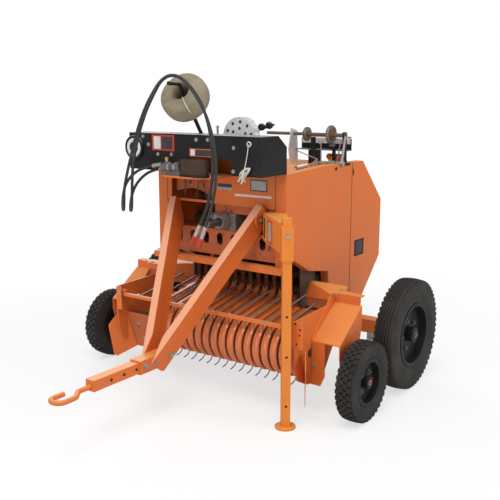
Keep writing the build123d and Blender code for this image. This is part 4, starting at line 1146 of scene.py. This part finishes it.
# %% Lever, links and posts
low_y = -0.030
low_z = 1.134
lever_top = at(0.402, 0.006, 1.272)
lever_low = at(0.402, low_y, low_z)
lever_bm = bmesh.new()
add_rod(lever_bm, lever_low, lever_top, 0.0095, 4, 0.0065)
add_rod(lever_bm, lever_low - left * 0.012, lever_low + left * 0.014, 0.013)
add_rods(lever_bm, [
    ((0.105, 0.108, 1.262), (0.384, 0.108, 1.262), 0.0035, 12),
    ((0.262, low_y, low_z), (0.400, low_y, low_z), 0.006, 16),
    ((0.287, -0.140, 1.127), (0.271, -0.053, 1.152), 0.0055, 12),
    ((0.275, -0.075, 1.124), (0.271, -0.053, 1.152), 0.004, 12),
    ((0.294, -0.195, 1.131), (0.285, -0.140, 1.129), 0.003, 10),
    ((0.326, -0.345, 1.131), (0.332, -0.372, 1.120), 0.003, 10),
    ((0.080, 0.028, 1.190), (0.252, -0.020, 1.150), 0.003, 10),
    ((0.247, 0.026, 1.236), (0.247, 0.026, 1.120), 0.0035, 12),
    ((0.366, 0.026, 1.252), (0.352, 0.020, 1.150), 0.004, 12),
])
for x, size in ((0.318, 0.010), (0.338, 0.013), (0.360, 0.015), (0.380, 0.013)):
    add_rod(lever_bm, at(x - 0.007, low_y, low_z), at(x + 0.007, low_y, low_z), size)
add_blocks(lever_bm, [((x - 0.004, 0.106, 1.250), (x + 0.004, 0.110, 1.264)) for x in (0.115, 0.240, 0.370)])
add_blocks(lever_bm, [
    ((0.264, -0.034, 1.119), (0.272, -0.026, 1.136)),
    ((0.384, -0.036, 1.119), (0.392, -0.024, 1.136)),
])
add_coil(lever_bm, at(0.326, -0.345, 1.131), at(0.294, -0.195, 1.131), 0.011, 0.004, 22)
add_ring(lever_bm, at(0.245, 0.024, 1.238), forward, 0.009, 0.0035)
finish_piece("twine_gear_links", lever_bm, "plated_steel")
post_bm = bmesh.new()
add_blocks(post_bm, [
    ((0.181, 0.030, 1.120), (0.206, 0.040, 1.262)),
    ((0.168, 0.026, 1.120), (0.240, 0.036, 1.196)),
    ((0.394, -0.016, 1.120), (0.402, 0.070, 1.133)),
    ((0.318, 0.020, 1.120), (0.332, 0.036, 1.232)),
    ((0.384, -0.038, 1.118), (0.398, 0.014, 1.126)),
])
add_rods(post_bm, [
    ((0.392, -0.080, 1.112), (0.403, -0.080, 1.112), 0.009, 16),
    ((0.300, 0.024, 1.214), (0.336, 0.024, 1.214), 0.012, 20),
])
finish_piece("gear_posts", post_bm, "black_paint")

# %% [markdown]
# The pulley at the box's right end is a black disc with a groove and a pale ring round its hub.
# A second ring lies inside the disc, where it doesn't show.

# %% Side pulley
pulley_y = -0.700
pulley_z = 1.228
right = -left
pulley_bm = bmesh.new()
disc = [(0, 0.006), (0, 0.046), (0.006, 0.046), (0.009, 0.043), (0.014, 0.043), (0.020, 0.046),
        (0.022, 0.044), (0.022, 0.006)]
add_turned(pulley_bm, disc, at(-0.400, pulley_y, pulley_z), right, 48)
finish_piece("side_pulley_dressed", pulley_bm, "black_paint", ["side_pulley"])
hub_ring = [(0, 0.018), (0, 0.034), (0.003, 0.032), (0.003, 0.020)]
inner_ring = [(0, 0.028), (0, 0.045), (0.003, 0.044), (0.003, 0.030)]
ring_bm = bmesh.new()
add_turned(ring_bm, hub_ring, at(-0.4221, pulley_y, pulley_z), right, 40)
add_turned(ring_bm, inner_ring, at(-0.4001, pulley_y, pulley_z), right, 40)
finish_piece("side_pulley_ring", ring_bm, "silver_paint")

# %% [markdown]
# The bracket of the stand carries two blank warning plates with coloured frames, and its sleeve
# is held by a bolt. The leg has holes for the pin that sets its height; they are thin dark discs,
# painted shade, because only their mouths show.

# %% Stand
stand_x = 0.562
stand_y = -0.786
stand_turn = math.radians(41.0)
along_way = Vector((-math.cos(stand_turn), math.sin(stand_turn), 0))
out_way = Vector((-math.sin(stand_turn), -math.cos(stand_turn), 0))
side_face = Vector((math.sin(stand_turn), -math.cos(stand_turn), 0))
bracket_corner = at(stand_x, stand_y, 0) + out_way * 0.0261
for name, start, end, low, high, field in (
    ("yellow_plate", 0.262, 0.306, 0.818, 0.926, "label_dark"),
    ("red_plate", 0.150, 0.236, 0.816, 0.922, "grey_plate"),
):
    corner = bracket_corner + along_way * end + up * low
    add_plate(name, corner, -along_way * (end - start), up * (high - low), name, [(0.1, 0.9, field)])
sleeve_spot = at(stand_x, stand_y, 0.888) + side_face * 0.026
bolts("sleeve_bolt", [(sleeve_spot, side_face)], 0.009)
hole_bm = bmesh.new()
spots = [at(stand_x, stand_y, z) + side_face * 0.0196 for z in (0.526, 0.340, 0.108)]
add_discs(hole_bm, spots, side_face, 0.006, 0.0008)
finish_piece("leg_holes", hole_bm, "dark_inside", smooth=0, body="stand")

# %% [markdown]
# Bolts hold the arms to the frame and the drawbar in its socket. The tube has spare holes, so
# that its length can be set; thin dark discs of painted shade stand for them.

# %% Drawbar fittings
arm_side = Vector((0.957, -0.166, -0.223))
bolts(
    "drawbar_bolts",
    [
        (at(0.032, -1.070, 0.281), left),
        (at(0.032, -1.130, 0.281), left),
        (at(-0.032, -1.070, 0.281), -left),
        (at(0.0583, -0.983, 0.301), arm_side),
        (at(-0.0583, -0.983, 0.301), arm_side.reflect(left)),
        (at(0.280, -0.575, 0.901), left),
        (at(-0.280, -0.575, 0.901), -left),
        (at(-0.2405, -0.589, 0.885), left),
    ],
    0.013,
)
tube_hole_bm = bmesh.new()
tube_z = 0.279
for y in (-1.259, -1.182, -1.336):
    for side in (1, -1):
        add_rod(tube_hole_bm, at(side * 0.0247, y, tube_z), at(side * 0.0256, y, tube_z), 0.0075)
finish_piece("tube_holes", tube_hole_bm, "dark_inside", smooth=0)

# %% [markdown]
# The pickup is held by many small bolts: one at each crop rod, more on the drive cover, the front
# flanges of both ends and the wings. Thin dark discs of painted shade stand for the holes of the left flange.

# %% Pickup fittings
cover_way = Vector((0, -0.967, -0.254))
pickup_rows = [(at(0.400 - n * 0.100, -0.720, 0.456), up) for n in range(9)]
pickup_rows += [(at(-0.460, -0.6595, 0.278), cover_way), (at(-0.440, -0.6380, 0.196), cover_way)]
pickup_rows += [(at(0.553, -0.740, 0.459), forward), (at(-0.515, -0.740, 0.459), forward)]
for side in (1, -1):
    pickup_rows += [
        (at(side * 0.601, -0.416, 0.550), up),
        (at(side * 0.590, -0.338, 0.550), up),
        (at(side * 0.592, -0.5920, 0.242), forward),
    ]
    pickup_rows += [
        (at(side * 0.728, y, z), left * side) for y, z in ((-0.440, 0.400), (-0.500, 0.330), (-0.560, 0.290))
    ]
bolts("pickup_bolts", pickup_rows, 0.008, "pickup")
flange_bm = bmesh.new()
flange_places = ((0.581, 0.481), (0.607, 0.457), (0.603, 0.431), (0.589, 0.387), (0.556, 0.430))
add_discs(flange_bm, [at(x, -0.7396, z) for x, z in flange_places], forward, 0.005, 0.0010)
finish_piece("flange_holes", flange_bm, "dark_inside", smooth=0, body="pickup")

# %% [markdown]
# The sides are large plain sheets held by a few bolts. A blank black plate and a small dark mark
# at the seam sit on the tailgate's left side, and two pale blocks hang under the axle beam.
# Below the crop guides, two thin aprons close the way down to the bands, and black rubber flaps
# hang under the sides.

# %% Sides and axle
side_x = 0.400
side_rows = []
for side in (1, -1):
    side_rows += [(at(side * side_x, y, z), left * side) for y, z in ((-0.320, 0.640), (0.038, 0.444))]
bolts("side_bolts", side_rows, 0.008)
add_plate("black_side_plate", at(side_x, 0.142, 0.614), rear * 0.108, up * 0.090, "black_paint",
          [(0.05, 0.95, "label_dark")], body="tailgate")
mark_bm = bmesh.new()
mark = ((0.104, 1.108), (0.118, 1.078), (0.101, 1.058))
add_sheet(mark_bm, [at(side_x, y, z) for y, z in mark], left * 0.001)
finish_piece("seam_mark", mark_bm, "dark_inside", smooth=0, body="tailgate")
apron = [(0.366, -0.297, 0.477), (0.578, -0.437, 0.521), (0.578, -0.441, 0.470), (0.366, -0.309, 0.436)]
apron_bm = bmesh.new()
flap_bm = bmesh.new()
block_bm = bmesh.new()
for side in (-1, 1):
    add_sheet(apron_bm, [at(side * x, y, z) for x, y, z in apron], rear * 0.003)
    x0, x1 = sorted((side * 0.341, side * 0.345))
    add_block(flap_bm, at(x0, -0.262, 0.475), at(x1, -0.100, 0.552))
    x0, x1 = sorted((side * 0.581, side * 0.634))
    add_block(block_bm, at(x0, -0.036, 0.222), at(x1, -0.006, 0.261))
soften(block_bm, 0.002)
finish_piece("inlet_aprons", apron_bm, "dusty_orange", smooth=0, body="pickup")
finish_piece("side_flaps", flap_bm, "tyre_rubber")
finish_piece("beam_blocks", block_bm, "grey_plate")
